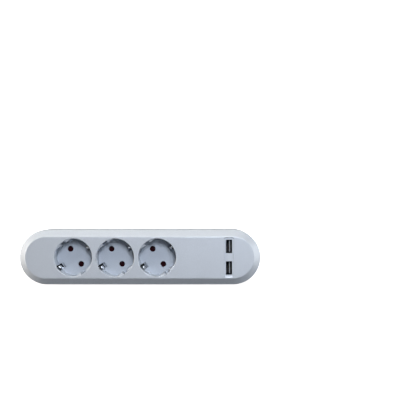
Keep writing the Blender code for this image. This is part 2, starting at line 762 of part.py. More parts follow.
def inlet_housing(finish):
    flange_front = POCKET_X - GAP - FLANGE_THICK
    flange = rounded((0, INLET_Z), FLANGE_SIZE, 2 * MM)
    housing = object_of(along_x(prism(flange, flange_front, POCKET_X - GAP)), "inlet_housing", finish)
    join(housing, along_x(prism(centred((0, INLET_Z), INLET_BODY), POCKET_X - MM, INLET_BACK)))
    cavity = inlet_outline(INLET_CAVITY, INLET_CUT)
    cut(housing, along_x(prism(cavity, flange_front - MM, INLET_CAVITY_BACK)))
    holes = bmesh.new()
    slot = (INLET_PIN[0] + 2 * GAP, INLET_PIN[1] + 2 * GAP)
    for place in inlet_pin_places().values():
        prism(centred(place, slot), INLET_CAVITY_BACK - MM, INLET_BACK + MM, holes)
    return cut(housing, along_x(holes))


def inlet_pin(name, place, finish):
    """A flat pin with a bevelled tip, running through the back of the inlet to a tab."""
    tip = (INLET_PIN[0] - MM, INLET_PIN[1] - MM)
    rings = [
        [(y, z, x) for y, z in centred(place, size)]
        for x, size in (
            (INLET_PIN_TIP, tip),
            (INLET_PIN_TIP + MM, INLET_PIN),
            (INLET_PIN_TAIL, INLET_PIN),
        )
    ]
    return object_of(along_x(loft(rings)), f"inlet_pin_{name}", finish)


def lead(name, points, finish):
    """An insulated lead through points in millimetres."""
    path = smooth_path([Vector(point) * MM for point in points], 3)
    return wire(name, path, LEAD_RADIUS, finish)


def inlet_leads(live, neutral, earth):
    """From the inlet's tabs down to the busbars' left ends."""
    tail = (INLET_PIN_TAIL + GAP) / MM
    z = INLET_Z / MM
    pin_y = PIN_Y / MM
    low = (BUSBAR_LEVEL + BUSBAR_THICK + GAP + LEAD_RADIUS) / MM
    for side, name, finish in ((1, "live", live), (-1, "neutral", neutral)):
        points = [
            (tail, side * INLET_PITCH / MM / 2, z),
            (tail + 2, side * 7.1, z - 0.3),
            (tail + 4.6, side * pin_y, z - 3),
            (tail + 5.2, side * pin_y, low + 4),
            (tail + 6.6, side * pin_y, low + 0.6),
            (tail + 10, side * pin_y, low),
        ]
        lead(f"inlet_lead_{name}", points, finish)
    low = (EARTH_LEVEL + CLIP_THICK + GAP + LEAD_RADIUS) / MM
    points = [
        (tail, 0, z + INLET_EARTH_RISE / MM),
        (tail + 1.6, 0, z + 3.8),
        (tail + 2.9, 1, z + 1.4),
        (tail + 2.2, 3.6, low + 1.4),
        (tail + 1, 6.5, low),
        (tail + 1, 10, low),
    ]
    lead("inlet_lead_earth", points, earth)


def board_leads(live, neutral):
    """From the busbars' right ends up to the underside of the charger board."""
    pin_y = PIN_Y / MM
    low = (BUSBAR_LEVEL + BUSBAR_THICK + GAP + LEAD_RADIUS) / MM
    end = (BOARD_LOW - GAP) / MM
    for side, name, finish in ((1, "live", live), (-1, "neutral", neutral)):
        points = [
            (29.5, side * pin_y, low),
            (36, side * pin_y, low),
            (43, side * (pin_y + 0.6), low + 3),
            (47, side * (pin_y + 1.6), end - 8),
            (48.6, side * (pin_y + 1.8), end - 3),
            (48.8, side * (pin_y + 1.8), end - 1),
            (48.8, side * (pin_y + 1.8), end),
        ]
        lead(f"board_lead_{name}", points, finish)


# ------------------------------------------------------------------ assembly


def build_housing():
    silver = material("silver_lacquer", (0.50, 0.55, 0.61), 0.35, 0.3)
    dark = material("black_plastic", (0.03, 0.03, 0.035), 0.5)
    steel = material("zinc_steel", (0.6, 0.6, 0.62), 0.3, 1.0)
    rubber = material("rubber", (0.02, 0.02, 0.02), 0.8)
    top_cover(silver)
    base_plate(dark)
    for number, center in enumerate(FEET, 1):
        foot(number, center, rubber)
    for number, center in enumerate(HOUSING_SCREWS, 1):
        seat = FOOT_HEIGHT + COUNTERBORE - GAP
        screw(f"housing_screw_{number}", center, seat, 12 * MM, 1, steel)


def build_sockets():
    cup_grey = material("cup_grey", (0.45, 0.49, 0.55), 0.45)
    red = material("shutter_red", (0.16, 0.03, 0.04), 0.4)
    spring_steel = material("spring_steel", (0.7, 0.7, 0.7), 0.25, 1.0)
    for number, x in enumerate(SOCKET_XS, 1):
        socket_cup(number, (x, 0), cup_grey)
        shutter(number, (x, 0), red)
        shutter_spring(number, (x, 0), spring_steel)


def build_contacts():
    brass = material("brass", (0.75, 0.55, 0.25), 0.3, 1.0)
    nickel = material("nickel", (0.7, 0.68, 0.62), 0.3, 1.0)
    dark = material("carrier_black", (0.03, 0.03, 0.035), 0.5)
    steel = material("carrier_steel", (0.6, 0.6, 0.62), 0.3, 1.0)
    pin_busbar("line_busbar", 1, brass)
    pin_busbar("neutral_busbar", -1, brass)
    earth_busbar(nickel)
    contact_carrier(dark)
    for number, x in enumerate(CARRIER_SCREW_XS, 1):
        screw(f"carrier_screw_{number}", (x, 0), CARRIER_SEAT + GAP, 6 * MM, -1, steel)


def build_charger():
    trim = material("bezel_grey", (0.45, 0.49, 0.55), 0.4)
    tin = material("tin_plate", (0.55, 0.56, 0.58), 0.3, 1.0)
    black = material("tongue_black", (0.04, 0.04, 0.045), 0.5)
    green = material("board_green", (0.02, 0.14, 0.06), 0.4)
    ferrite = material("ferrite", (0.05, 0.05, 0.05), 0.7)
    tape = material("yellow_tape", (0.8, 0.6, 0.1), 0.5)
    sleeve = material("can_sleeve", (0.03, 0.05, 0.14), 0.35)
    steel = material("board_steel", (0.6, 0.6, 0.62), 0.3, 1.0)
    usb_bezel(trim)
    for number, y in enumerate(USB_YS, 1):
        center = (USB_X, y)
        usb_shell(number, center, tin)
        usb_tongue(number, center, black)
    charger_board(green)
    transformer(ferrite, tape)
    can_capacitor("input_capacitor", (84 * MM, 8 * MM), 4 * MM, 16 * MM, sleeve)
    can_capacitor("output_capacitor", (98 * MM, -8 * MM), 4 * MM, 12 * MM, sleeve)
    fuse(black)
    rectifier(ferrite)
    for number, center in enumerate(BOARD_SCREWS, 1):
        screw(f"board_screw_{number}", center, BOARD_LOW - GAP, 8 * MM, 1, steel)


def build_inlet():
    dark = material("inlet_black", (0.03, 0.03, 0.035), 0.45)
    nickel = material("pin_nickel", (0.7, 0.68, 0.62), 0.25, 1.0)
    brown = material("live_brown", (0.15, 0.06, 0.03), 0.4)
    blue = material("neutral_blue", (0.03, 0.12, 0.45), 0.4)
    green = material("earth_green", (0.25, 0.5, 0.05), 0.4)
    inlet_housing(dark)
    for name, place in inlet_pin_places().items():
        inlet_pin(name, place, nickel)
    inlet_leads(brown, blue, green)
    board_leads(brown, blue)


def main():
    clear_scene()
    build_housing()
    build_sockets()
    build_contacts()
    build_charger()
    build_inlet()


main()
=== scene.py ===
"""The looks of the desk power strip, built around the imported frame.

Every outline is worked out from the frame's boxes and the few detail sizes named below. Metres, +Z up.
"""

import json
import math

import bmesh
import bpy
from mathutils import Matrix, Vector


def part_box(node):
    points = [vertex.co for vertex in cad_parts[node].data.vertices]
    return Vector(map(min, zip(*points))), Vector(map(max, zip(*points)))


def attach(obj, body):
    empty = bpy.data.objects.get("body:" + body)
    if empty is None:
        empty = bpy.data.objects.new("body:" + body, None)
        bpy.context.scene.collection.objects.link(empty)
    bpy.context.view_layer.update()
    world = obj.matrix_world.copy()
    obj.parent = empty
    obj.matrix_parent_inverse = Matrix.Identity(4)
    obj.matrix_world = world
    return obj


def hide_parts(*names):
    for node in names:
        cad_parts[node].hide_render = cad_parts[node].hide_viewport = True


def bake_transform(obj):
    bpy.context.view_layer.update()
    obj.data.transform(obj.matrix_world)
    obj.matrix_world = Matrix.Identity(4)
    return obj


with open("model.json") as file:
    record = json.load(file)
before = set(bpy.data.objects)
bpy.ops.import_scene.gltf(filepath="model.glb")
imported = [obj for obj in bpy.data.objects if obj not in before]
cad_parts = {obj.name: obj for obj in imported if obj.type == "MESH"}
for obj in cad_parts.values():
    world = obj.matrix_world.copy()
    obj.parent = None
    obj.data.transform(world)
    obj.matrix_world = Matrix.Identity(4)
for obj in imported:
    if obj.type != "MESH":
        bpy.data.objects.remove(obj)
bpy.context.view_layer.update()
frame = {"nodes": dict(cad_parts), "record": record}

MM = 0.001
SOCKETS = (1, 2, 3)
PORTS = (1, 2)
FEET = (1, 2, 3, 4)

COVER_LOW, COVER_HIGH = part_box("top_cover")
FACE = COVER_HIGH.z
LENGTH = COVER_HIGH.x - COVER_LOW.x
END_RADIUS = (COVER_HIGH.y - COVER_LOW.y) / 2
STRAIGHT = LENGTH / 2 - END_RADIUS
CHAMFER = 6.75 * MM
WALL = 2.2 * MM
FACE_UNDER = FACE - WALL
END_STEPS = 48

RECESS_RADIUS = 19.25 * MM
RECESS_FLOOR = FACE - 17.5 * MM
FLAT_DISTANCE = 16.7 * MM
FLAT_LEDGE = 2.1 * MM
FLAT_LEDGE_LOW = 1.25 * MM
FLAT_LEDGE_HIGH = 0.85 * MM
LEDGE_STOP = 0.1 * MM
NOTCH_HALF = 2.95 * MM
NOTCH_REACH = 19 * MM
RIM_ROUND = 0.35 * MM
FLOOR_ROUND = 0.7 * MM
PIN_ANGLE = math.radians(-54.9)
EARTH_ANGLE = math.radians(35.1)
PIN_REACH = 9.5 * MM
PIN_HOLE = 2.95 * MM
PIN_HOLE_LIP = 1.2 * MM
PIN_HOLE_RELIEF = 0.9 * MM
SLOT_HALF = 2.9 * MM
SLOT_STEP = 0.03 * MM
SLOT_INNER = 14 * MM
SHELF_OUTER = 16.4 * MM
SHELF_DEPTH = 4.5 * MM
SHELF_THICK = 1.2 * MM
RIB_PLACES = (14.75 * MM, 15.85 * MM)
RIB_HALF = 0.24 * MM
RIB_DEPTH = 0.5 * MM
ROUND_STEPS = 96

GAP = 0.3 * MM
PAST = MM  # how far a cutter or an overlap runs past the surface that it meets
BOSS_RADIUS = 3 * MM
SCREW_HOLE = 1.5 * MM
BEZEL_CORNER = 1.8 * MM
INLET_BODY = (27 * MM, 19.6 * MM)


# ------------------------------------------------------------------ shape helpers


def new_object(name, bm):
    bmesh.ops.recalc_face_normals(bm, faces=bm.faces)
    mesh = bpy.data.meshes.new(name)
    bm.to_mesh(mesh)
    bm.free()
    obj = bpy.data.objects.new(name, mesh)
    bpy.context.scene.collection.objects.link(obj)
    return obj


def keep_evaluated(obj):
    """Applies the object's modifiers, or turns a curve into a mesh object of the same name."""
    graph = bpy.context.evaluated_depsgraph_get()
    mesh = bpy.data.meshes.new_from_object(obj.evaluated_get(graph))
    if obj.type == "MESH":
        obj.modifiers.clear()
        obj.data = mesh
        return obj
    name = obj.name
    bpy.data.objects.remove(obj)
    made = bpy.data.objects.new(name, mesh)
    bpy.context.scene.collection.objects.link(made)
    return made


def combine(obj, other, operation):
    """A Boolean with another object, applied at once. The other object is used up."""
    modifier = obj.modifiers.new("combine", "BOOLEAN")
    modifier.operation = operation
    modifier.solver = "EXACT"
    modifier.object = other
    keep_evaluated(obj)
    bpy.data.objects.remove(other)


def cut(obj, bm):
    combine(obj, new_object("operand", bm), "DIFFERENCE")


def join(obj, bm):
    combine(obj, new_object("operand", bm), "UNION")


def loft(rings, bm=None, closed=False):
    """Rings of 3-D points joined in order, with end caps, or with the last ring joined to the first."""
    bm = bm or bmesh.new()
    made = [[bm.verts.new(point) for point in ring] for ring in rings]
    pairs = list(zip(made, made[1:]))
    if closed:
        pairs.append((made[-1], made[0]))
    for lower, upper in pairs:
        for i, corner in enumerate(lower):
            j = (i + 1) % len(lower)
            bm.faces.new((corner, lower[j], upper[j], upper[i]))
    if not closed:
        bm.faces.new(reversed(made[0]))
        bm.faces.new(made[-1])
    return bm


def prism(outline, low, high, bm=None):
    return loft([[(x, y, z) for x, y in outline] for z in (low, high)], bm)


def arc(center, radius, start, end, steps):
    angles = [start + (end - start) * i / steps for i in range(steps + 1)]
    return [(center[0] + radius * math.cos(a), center[1] + radius * math.sin(a)) for a in angles]


def circle(center, radius, steps):
    return arc(center, radius, 0, 2 * math.pi * (steps - 1) / steps, steps - 1)


def lathe(center, profile, steps, bm=None):
    """A round solid from (height, radius) pairs."""
    return loft([[(x, y, z) for x, y in circle(center, r, steps)] for z, r in profile], bm)


def tube_solid(center, profile, steps, bm=None):
    """A ring-shaped solid from a closed loop of (height, radius) pairs."""
    rings = [[(x, y, z) for x, y in circle(center, r, steps)] for z, r in profile]
    return loft(rings, bm, closed=True)


def rectangle(x_low, x_high, y_low, y_high):
    return [(x_low, y_low), (x_high, y_low), (x_high, y_high), (x_low, y_high)]


def centred(center, size):
    half_x, half_y = size[0] / 2, size[1] / 2
    return rectangle(center[0] - half_x, center[0] + half_x, center[1] - half_y, center[1] + half_y)


def rounded(center, size, radius, steps=6):
    half_x, half_y = size[0] / 2 - radius, size[1] / 2 - radius
    points = []
    for turn, (sign_x, sign_y) in enumerate(((1, 1), (-1, 1), (-1, -1), (1, -1))):
        corner = (center[0] + sign_x * half_x, center[1] + sign_y * half_y)
        start = turn * math.pi / 2
        points += arc(corner, radius, start, start + math.pi / 2, steps)
    return points


def stadium(radius):
    right = arc((STRAIGHT, 0), radius, -math.pi / 2, math.pi / 2, END_STEPS)
    left = arc((-STRAIGHT, 0), radius, math.pi / 2, 3 * math.pi / 2, END_STEPS)
    return right + left


def turned(points, angle, center=(0, 0)):
    c, s = math.cos(angle), math.sin(angle)
    return [(center[0] + c * x - s * y, center[1] + s * x + c * y) for x, y in points]


def along_x(bm):
    """Turns a solid drawn as (y, z) points with its height along X into place."""
    spin = Matrix(((0, 0, 1, 0), (1, 0, 0, 0), (0, 1, 0, 0), (0, 0, 0, 1)))
    bmesh.ops.transform(bm, matrix=spin, verts=bm.verts)
    return bm


def round_corners(points, radius, steps=4, closed=False):
    """An open or closed path with each inner corner rounded by about this radius."""
    count = len(points)
    most = 0.45  # the most of a side that one corner may take
    path = []
    for i, point in enumerate(points):
        if not closed and i in (0, count - 1):
            path.append(tuple(point))
            continue
        corner = Vector(point)
        before = Vector(points[i - 1]) - corner
        after = Vector(points[(i + 1) % count]) - corner
        reach = min(radius, before.length * most, after.length * most)
        start = corner + before.normalized() * reach
        end = corner + after.normalized() * reach
        for k in range(steps + 1):
            t = k / steps
            path.append(tuple(start * (1 - t) ** 2 + corner * 2 * t * (1 - t) + end * t**2))
    return path


def smooth_path(points, steps):
    """A Catmull-Rom curve through the points."""
    points = [Vector(p) for p in points]
    ends = [2 * points[0] - points[1], *points, 2 * points[-1] - points[-2]]
    path = []
    for a, b, c, d in zip(ends, ends[1:], ends[2:], ends[3:]):
        for k in range(steps):
            t = k / steps
            straight = 2 * b + (c - a) * t
            bend = (2 * a - 5 * b + 4 * c - d) * t**2 + (3 * b - a - 3 * c + d) * t**3
            path.append((straight + bend) / 2)
    return path + [points[-1]]


def strip(path, widths, thick, angle, center):
    """A bent strip with round edges: path is its middle line as (radius, height), seen from the side."""
    edge = thick * 0.35
    rings = []
    for i, point in enumerate(path):
        way = (path[min(i + 1, len(path) - 1)] - path[max(i - 1, 0)]).normalized()
        side = Vector((-way.y, way.x))
        ring = []
        for u, v in rounded((0, 0), (widths[i], thick), edge, 2):
            radius, height = point + side * v
            x, y = turned([(radius, u)], angle, center)[0]
            ring.append((x, y, height))
        rings.append(ring)
    return loft(rings)


def wire(name, path, radius):
    curve = bpy.data.curves.new(name, "CURVE")
    curve.dimensions = "3D"
    curve.bevel_depth = radius
    curve.bevel_resolution = 3
    curve.use_fill_caps = True
    spline = curve.splines.new("POLY")
    spline.points.add(len(path) - 1)
    for target, point in zip(spline.points, path):
        target.co = (*point, 1)
    obj = bpy.data.objects.new(name, curve)
    bpy.context.scene.collection.objects.link(obj)
    return keep_evaluated(obj)


def middle(node):
    low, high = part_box(node)
    return (low + high) / 2


def flare(top, radius):
    """(height, growth) pairs for a cutter that leaves a rounded edge where it comes out at the top."""
    turn, steps = math.radians(75), 4
    above, beyond = 0.3, 1.95  # where the cutter ends, in radii above the top and outwards
    pairs = []
    for k in range(steps + 1):
        a = turn * k / steps
        pairs.append((top - radius + radius * math.sin(a), radius * (1 - math.cos(a))))
    pairs.append((top + radius * above, radius * beyond))
    return pairs


def piece(obj, body, slot, finish, *nodes, sharp=32):
    """Shades the piece, gives it its material and ties it to the frame."""
    mesh = obj.data
    mesh.materials.clear()
    mesh.materials.append(finish)
    for polygon in mesh.polygons:
        polygon.material_index = 0
    mesh.shade_smooth()
    mesh.set_sharp_from_angle(angle=math.radians(sharp))
    weighted = obj.modifiers.new("even_shading", "WEIGHTED_NORMAL")
    weighted.keep_sharp = True
    weighted.weight = 80
    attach(obj, body)
    if nodes:
        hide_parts(*nodes)


# ------------------------------------------------------------------ materials


class Nodes:
    """A material's node tree, with short calls for the nodes that the finishes share."""

    def __init__(self, name):
        self.material = bpy.data.materials.new(name)
        self.material.use_nodes = True
        self.tree = self.material.node_tree
        self.shader = self.tree.nodes["Principled BSDF"]
        self.place = self.add("ShaderNodeTexCoord").outputs["Object"]

    def add(self, kind, **values):
        node = self.tree.nodes.new(kind)
        for key, value in values.items():
            setattr(node, key, value)
        return node

    def link(self, source, target):
        self.tree.links.new(source, target)

    def stretched(self, scale):
        mapping = self.add("ShaderNodeMapping")
        mapping.inputs["Scale"].default_value = scale
        self.link(self.place, mapping.inputs["Vector"])
        return mapping.outputs["Vector"]

    def noise(self, scale, detail=3.0, vector=None):
        node = self.add("ShaderNodeTexNoise")
        node.inputs["Scale"].default_value = scale
        node.inputs["Detail"].default_value = detail
        self.link(vector or self.place, node.inputs["Vector"])
        return node.outputs["Fac"]

    def cells(self, scale):
        node = self.add("ShaderNodeTexVoronoi")
        node.inputs["Scale"].default_value = scale
        self.link(self.place, node.inputs["Vector"])
        return node

    def ramp(self, source, stops):
        """A color ramp: stops are (position, color)."""
        node = self.add("ShaderNodeValToRGB")
        elements = node.color_ramp.elements
        while len(elements) < len(stops):
            elements.new(0.5)
        for element, (position, color) in zip(elements, stops):
            element.position = position
            element.color = (*color, 1)
        self.link(source, node.inputs["Fac"])
        return node.outputs["Color"]

    def span(self, source, low, high, start=0.3, end=0.7):
        node = self.add("ShaderNodeMapRange")
        node.inputs["From Min"].default_value = start
        node.inputs["From Max"].default_value = end
        node.inputs["To Min"].default_value = low
        node.inputs["To Max"].default_value = high
        self.link(source, node.inputs["Value"])
        return node.outputs["Result"]

    def mixed(self, factor, first, second):
        node = self.add("ShaderNodeMix", data_type="RGBA")
        for value, socket in ((factor, node.inputs[0]), (first, node.inputs[6]), (second, node.inputs[7])):
            if isinstance(value, (tuple, float)):
                socket.default_value = value if isinstance(value, float) else (*value, 1)
            else:
                self.link(value, socket)
        return node.outputs[2]

    def bump(self, height, depth, strength=1.0, under=None):
        node = self.add("ShaderNodeBump")
        node.inputs["Distance"].default_value = depth
        node.inputs["Strength"].default_value = strength
        self.link(height, node.inputs["Height"])
        if under:
            self.link(under, node.inputs["Normal"])
        return node.outputs["Normal"]

    def color(self, source):
        self.link(source, self.shader.inputs["Base Color"])

    def roughness(self, source):
        self.link(source, self.shader.inputs["Roughness"])

    def normal(self, source):
        self.link(source, self.shader.inputs["Normal"])

    def fixed(self, **values):
        for key, value in values.items():
            self.shader.inputs[key.replace("_", " ").title().replace("Ior", "IOR")].default_value = value


def tinted(color, factor):
    return tuple(min(1.0, channel * factor) for channel in color)


def moulded(name, color, rough, grain=1400, depth=0.02 * MM, shine=0.5):
    """Moulded plastic: a fine spark-eroded grain, slight flow clouds and a little sheen variation."""
    n = Nodes(name)
    spread = 0.05
    clouds = n.noise(18, 4)
    fine = n.noise(grain, 2)
    n.color(n.ramp(clouds, [(0.35, tinted(color, 1 - spread)), (0.65, tinted(color, 1 + spread))]))
    n.roughness(n.span(n.noise(55, 5), rough - 0.05, rough + 0.06))
    n.normal(n.bump(fine, depth, 0.5))
    n.fixed(specular_ior_level=shine)
    return n.material


def lacquer(name, color, rough, metal):
    """Silver lacquer: metal flakes in tints of one color under a satin coat, with faint orange peel."""
    n = Nodes(name)
    flakes = n.cells(5200)
    tint = n.ramp(flakes.outputs["Color"], [(0.2, tinted(color, 0.9)), (0.8, tinted(color, 1.1))])
    clouds = n.noise(14, 4)
    n.color(n.mixed(n.span(clouds, 0.0, 0.25), tint, tinted(color, 0.96)))
    n.roughness(n.span(n.noise(70, 5), rough - 0.04, rough + 0.05))
    peel = n.bump(n.noise(900, 2), 0.012 * MM, 0.35)
    n.normal(n.bump(n.noise(3600, 1), 0.006 * MM, 0.4, peel))
    n.fixed(metallic=metal, specular_ior_level=0.35)
    return n.material


def metal_sheet(name, color, rough, direction, plated=0.0):
    """Stamped or drawn metal: fine lines along one axis and soft blotches of tarnish."""
    n = Nodes(name)
    lines = n.noise(320, 6, n.stretched(direction))
    blotches = n.noise(130, 4)
    shade = n.ramp(lines, [(0.3, tinted(color, 0.86)), (0.7, tinted(color, 1.1))])
    n.color(n.mixed(n.span(blotches, 0.0, 0.3), shade, tinted(color, 0.72)))
    n.roughness(n.span(lines, rough - 0.06, rough + 0.12))
    n.normal(n.bump(lines, 0.01 * MM, 0.5))
    n.fixed(metallic=1.0, coat_weight=plated)
    return n.material


def striped(name, first, second, pitch):
    """Lead insulation with a second color in a band that turns round it."""
    n = Nodes(name)
    wave = n.add("ShaderNodeTexWave", wave_type="BANDS", bands_direction="DIAGONAL")
    wave.inputs["Scale"].default_value = pitch
    n.link(n.place, wave.inputs["Vector"])
    n.color(n.ramp(wave.outputs["Fac"], [(0.48, first), (0.52, second)]))
    n.roughness(n.span(n.noise(90, 3), 0.32, 0.45))
    n.normal(n.bump(n.noise(700, 2), 0.02 * MM, 0.4))
    return n.material


def circuit_board(name):
    """Green solder resist with slightly raised tracks and tinned pads."""
    n = Nodes(name)
    cells = n.cells(170)
    cells.distance = "MANHATTAN"
    tracks = n.span(cells.outputs["Distance"], 0.0, 1.0, 0.42, 0.5)
    pads = n.cells(260)
    dots = n.span(pads.outputs["Distance"], 1.0, 0.0, 0.16, 0.2)
    green = n.mixed(tracks, (0.012, 0.10, 0.045), (0.02, 0.17, 0.075))
    n.color(n.mixed(dots, green, (0.55, 0.55, 0.52)))
    n.roughness(n.span(n.noise(120, 3), 0.25, 0.4))
    n.normal(n.bump(tracks, 0.03 * MM, 0.6))
    return n.material


def wound_tape(name, color):
    n = Nodes(name)
    lines = n.noise(60, 2, n.stretched((1, 1, 22)))
    n.color(n.ramp(lines, [(0.35, tinted(color, 0.75)), (0.65, tinted(color, 1.1))]))
    n.roughness(n.span(n.noise(90, 3), 0.35, 0.5))
    n.normal(n.bump(lines, 0.06 * MM, 0.7))
    return n.material


def sleeve(name, color, stripe):
    """A shrink sleeve with one pale stripe down its side."""
    n = Nodes(name)
    wave = n.add("ShaderNodeTexWave", wave_type="BANDS", bands_direction="X")
    wave.inputs["Scale"].default_value = 24
    n.link(n.place, wave.inputs["Vector"])
    n.color(n.ramp(wave.outputs["Fac"], [(0.93, color), (0.96, stripe)]))
    n.roughness(n.span(n.noise(90, 3), 0.25, 0.38))
    n.normal(n.bump(n.noise(260, 3), 0.03 * MM, 0.5))
    return n.material


SILVER = (0.454, 0.497, 0.556)
FINISH = {
    "silver_lacquer": lacquer("silver_lacquer", SILVER, 0.38, 0.25),
    "cup_grey": lacquer("cup_grey", tinted(SILVER, 1.06), 0.42, 0.15),
    "black_plastic": moulded("black_plastic", (0.028, 0.029, 0.032), 0.55, 900, 0.05 * MM),
    "rubber": moulded("rubber", (0.018, 0.018, 0.018), 0.82, 700, 0.06 * MM),
    "zinc_steel": metal_sheet("zinc_steel", (0.62, 0.62, 0.60), 0.3, (1, 1, 1), 0.2),
    # shutter_red: the shutter's own dark red, darkened much further as painted shade inside the pin holes.
    "shutter_red": moulded("shutter_red", (0.02, 0.0012, 0.0035), 0.7, 1600, 0.01 * MM, shine=0.08),
    "spring_steel": metal_sheet("spring_steel", (0.66, 0.66, 0.66), 0.22, (1, 1, 6)),
    "brass": metal_sheet("brass", (0.80, 0.58, 0.26), 0.3, (1, 14, 14)),
    "nickel": metal_sheet("nickel", (0.76, 0.80, 0.86), 0.28, (10, 10, 1)),
    # tin_plate: the port shells' tin is given a near-black colour, painted shade inside the USB ports.
    "tin_plate": metal_sheet("tin_plate", (0.02, 0.023, 0.03), 0.45, (12, 12, 1)),
    "tongue_black": moulded("tongue_grey", (0.32, 0.34, 0.37), 0.5, 1500, 0.01 * MM),
    "board_green": circuit_board("board_green"),
    "ferrite": moulded("ferrite", (0.05, 0.05, 0.052), 0.68, 500, 0.08 * MM),
    "yellow_tape": wound_tape("yellow_tape", (0.72, 0.5, 0.08)),
    "can_sleeve": sleeve("can_sleeve", (0.02, 0.04, 0.12), (0.6, 0.6, 0.6)),
    "live_brown": moulded("live_brown", (0.13, 0.05, 0.022), 0.4, 700, 0.03 * MM),
    "neutral_blue": moulded("neutral_blue", (0.02, 0.10, 0.42), 0.4, 700, 0.03 * MM),
    "earth_green": striped("earth_green", (0.03, 0.22, 0.03), (0.75, 0.62, 0.04), 110),
}


# ------------------------------------------------------------------ housing


def recess_outline(center, grow=0.0, lead=0.0):
    """The plug recess from above: a circle with a flat and a notch at each end of the pins' axis.

    The lead draws the flats back, for the ledge over them.
    """
    radius = RECESS_RADIUS + grow
    flat = min(FLAT_DISTANCE + grow + lead, NOTCH_REACH - LEDGE_STOP + grow)
    notch = NOTCH_REACH + grow
    half = NOTCH_HALF + grow
    corner = math.acos(flat / radius)
    points = []
    for side in (0, math.pi):
        points += turned([(flat, -half), (notch, -half), (notch, half), (flat, half)], side)
        points += arc((0, 0), radius, side + corner, side + math.pi - corner, ROUND_STEPS // 2)
    return turned(points, PIN_ANGLE, center)


def at_height(outline, z):
    return [(x, y, z) for x, y in outline]


def screw_places(prefix):
    names = sorted(name for name in frame["nodes"] if name.startswith(prefix))
    return {name: middle(name) for name in names}


COVER_EDGE = 0.8 * MM
POCKET_DEPTH = 2.5 * MM
POCKET_SIDE_GAP = 0.45 * MM
POCKET_TOP_GAP = 1.7 * MM
POCKET_CORNER = 1.5 * MM
BOSS_FOOT = 2.3 * MM
HOUSING_HOLE_DEPTH = 12 * MM
BOARD_HOLE_DEPTH = 9 * MM


def top_cover():
    """The shell with softened edges, a rounded rim round each recess and a pocket for the inlet."""
    low = COVER_LOW.z
    lip, shoulder = 0.5 * MM, CHAMFER + 1.5 * MM
    corner = [(lip, low), (0, low), (0, FACE - CHAMFER), (CHAMFER, FACE), (shoulder, FACE)]
    rings = [at_height(stadium(END_RADIUS - inset), z) for inset, z in round_corners(corner, COVER_EDGE, 5)]
    cover = new_object("housing_cover", loft(rings))

    flange_low, flange_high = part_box("inlet_housing")
    pocket_x = flange_low.x + POCKET_DEPTH
    pocket_half = flange_high.y + POCKET_SIDE_GAP
    pocket_low, pocket_high = flange_low.z - PAST, flange_high.z + POCKET_TOP_GAP
    outside = COVER_LOW.x - 10 * PAST
    walls = rectangle(outside, pocket_x + WALL, -pocket_half - WALL, pocket_half + WALL)
    bosses, holes = screw_bosses()
    hollow = cover_hollow(low)
    cut(hollow, prism(walls, pocket_low - WALL, pocket_high + WALL))
    cut(hollow, bosses)
    combine(cover, hollow, "DIFFERENCE")
    cut(cover, holes)

    pocket = (2 * pocket_half, pocket_high - pocket_low)
    outline = rounded((0, (pocket_low + pocket_high) / 2), pocket, POCKET_CORNER)
    cut(cover, along_x(prism(outline, outside, pocket_x)))
    window = centred((0, middle("inlet_housing").z), [side + 2 * GAP for side in INLET_BODY])
    cut(cover, along_x(prism(window, pocket_x - PAST, pocket_x + 2 * WALL)))
    cut(cover, face_openings())
    piece(cover, "housing", "silver_lacquer", FINISH["silver_lacquer"], "top_cover")


def cover_hollow(low):
    """The room inside the shell, before the pocket's walls and the bosses are taken out of it."""
    slope = WALL * math.tan(math.radians(22.5))
    rings = [
        at_height(stadium(END_RADIUS - WALL), low - PAST),
        at_height(stadium(END_RADIUS - WALL), FACE - CHAMFER - slope),
        at_height(stadium(END_RADIUS - CHAMFER - slope), FACE_UNDER),
    ]
    return new_object("hollow", loft(rings))


def screw_bosses():
    """The bosses under the face for the housing and board screws, and the holes in them."""
    bosses, holes = bmesh.new(), bmesh.new()
    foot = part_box("base_plate")[0].z + BOSS_FOOT
    for place in screw_places("housing_screw").values():
        lathe(place, [(foot, BOSS_RADIUS), (FACE, BOSS_RADIUS)], 32, bosses)
        lathe(place, [(0, SCREW_HOLE), (foot + HOUSING_HOLE_DEPTH, SCREW_HOLE)], 24, holes)
    board_low, board_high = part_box("charger_board")
    for place in screw_places("board_screw").values():
        lathe(place, [(board_high.z + GAP, BOSS_RADIUS), (FACE, BOSS_RADIUS)], 32, bosses)
        lathe(place, [(board_low.z, SCREW_HOLE), (board_high.z + BOARD_HOLE_DEPTH, SCREW_HOLE)], 24, holes)
    return bosses, holes


def face_openings():
    """The cutters for the plug recesses, with a ledge over their flats, and for the USB plate."""
    openings = bmesh.new()
    for number in SOCKETS:
        center = middle(f"socket_cup_{number}")
        rings = [(FACE_UNDER - PAST, 0, 0), (FACE - FLAT_LEDGE_LOW, 0, 0)]
        rings += [(FACE - FLAT_LEDGE_HIGH, 0, FLAT_LEDGE)]
        rings += [(z, grow, FLAT_LEDGE) for z, grow in flare(FACE, RIM_ROUND)]
        loft([at_height(recess_outline(center, grow, lead), z) for z, grow, lead in rings], openings)
    low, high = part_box("usb_bezel")
    gap, rim = 0.12 * MM, 0.1 * MM
    rings = []
    for z, grow in [(FACE_UNDER - PAST, 0), *flare(FACE, rim)]:
        area = (high.x - low.x + 2 * (gap + grow), high.y - low.y + 2 * (gap + grow))
        rings.append(at_height(rounded(middle("usb_bezel"), area, BEZEL_CORNER + grow), z))
    return loft(rings, openings)


PLATE_THICK = 2 * MM
PLATE_EDGE = 0.4 * MM
PILLAR_RADIUS = 2.6 * MM
COUNTERBORE = 3.1 * MM
COUNTERBORE_DEPTH = 1.4 * MM
FOOT_GROOVE = (6.4 * MM, 7.2 * MM, 0.35 * MM)  # inner and outer radius, depth
LABEL_SIZE = (70 * MM, 26 * MM)
LABEL_DEPTH = 0.25 * MM


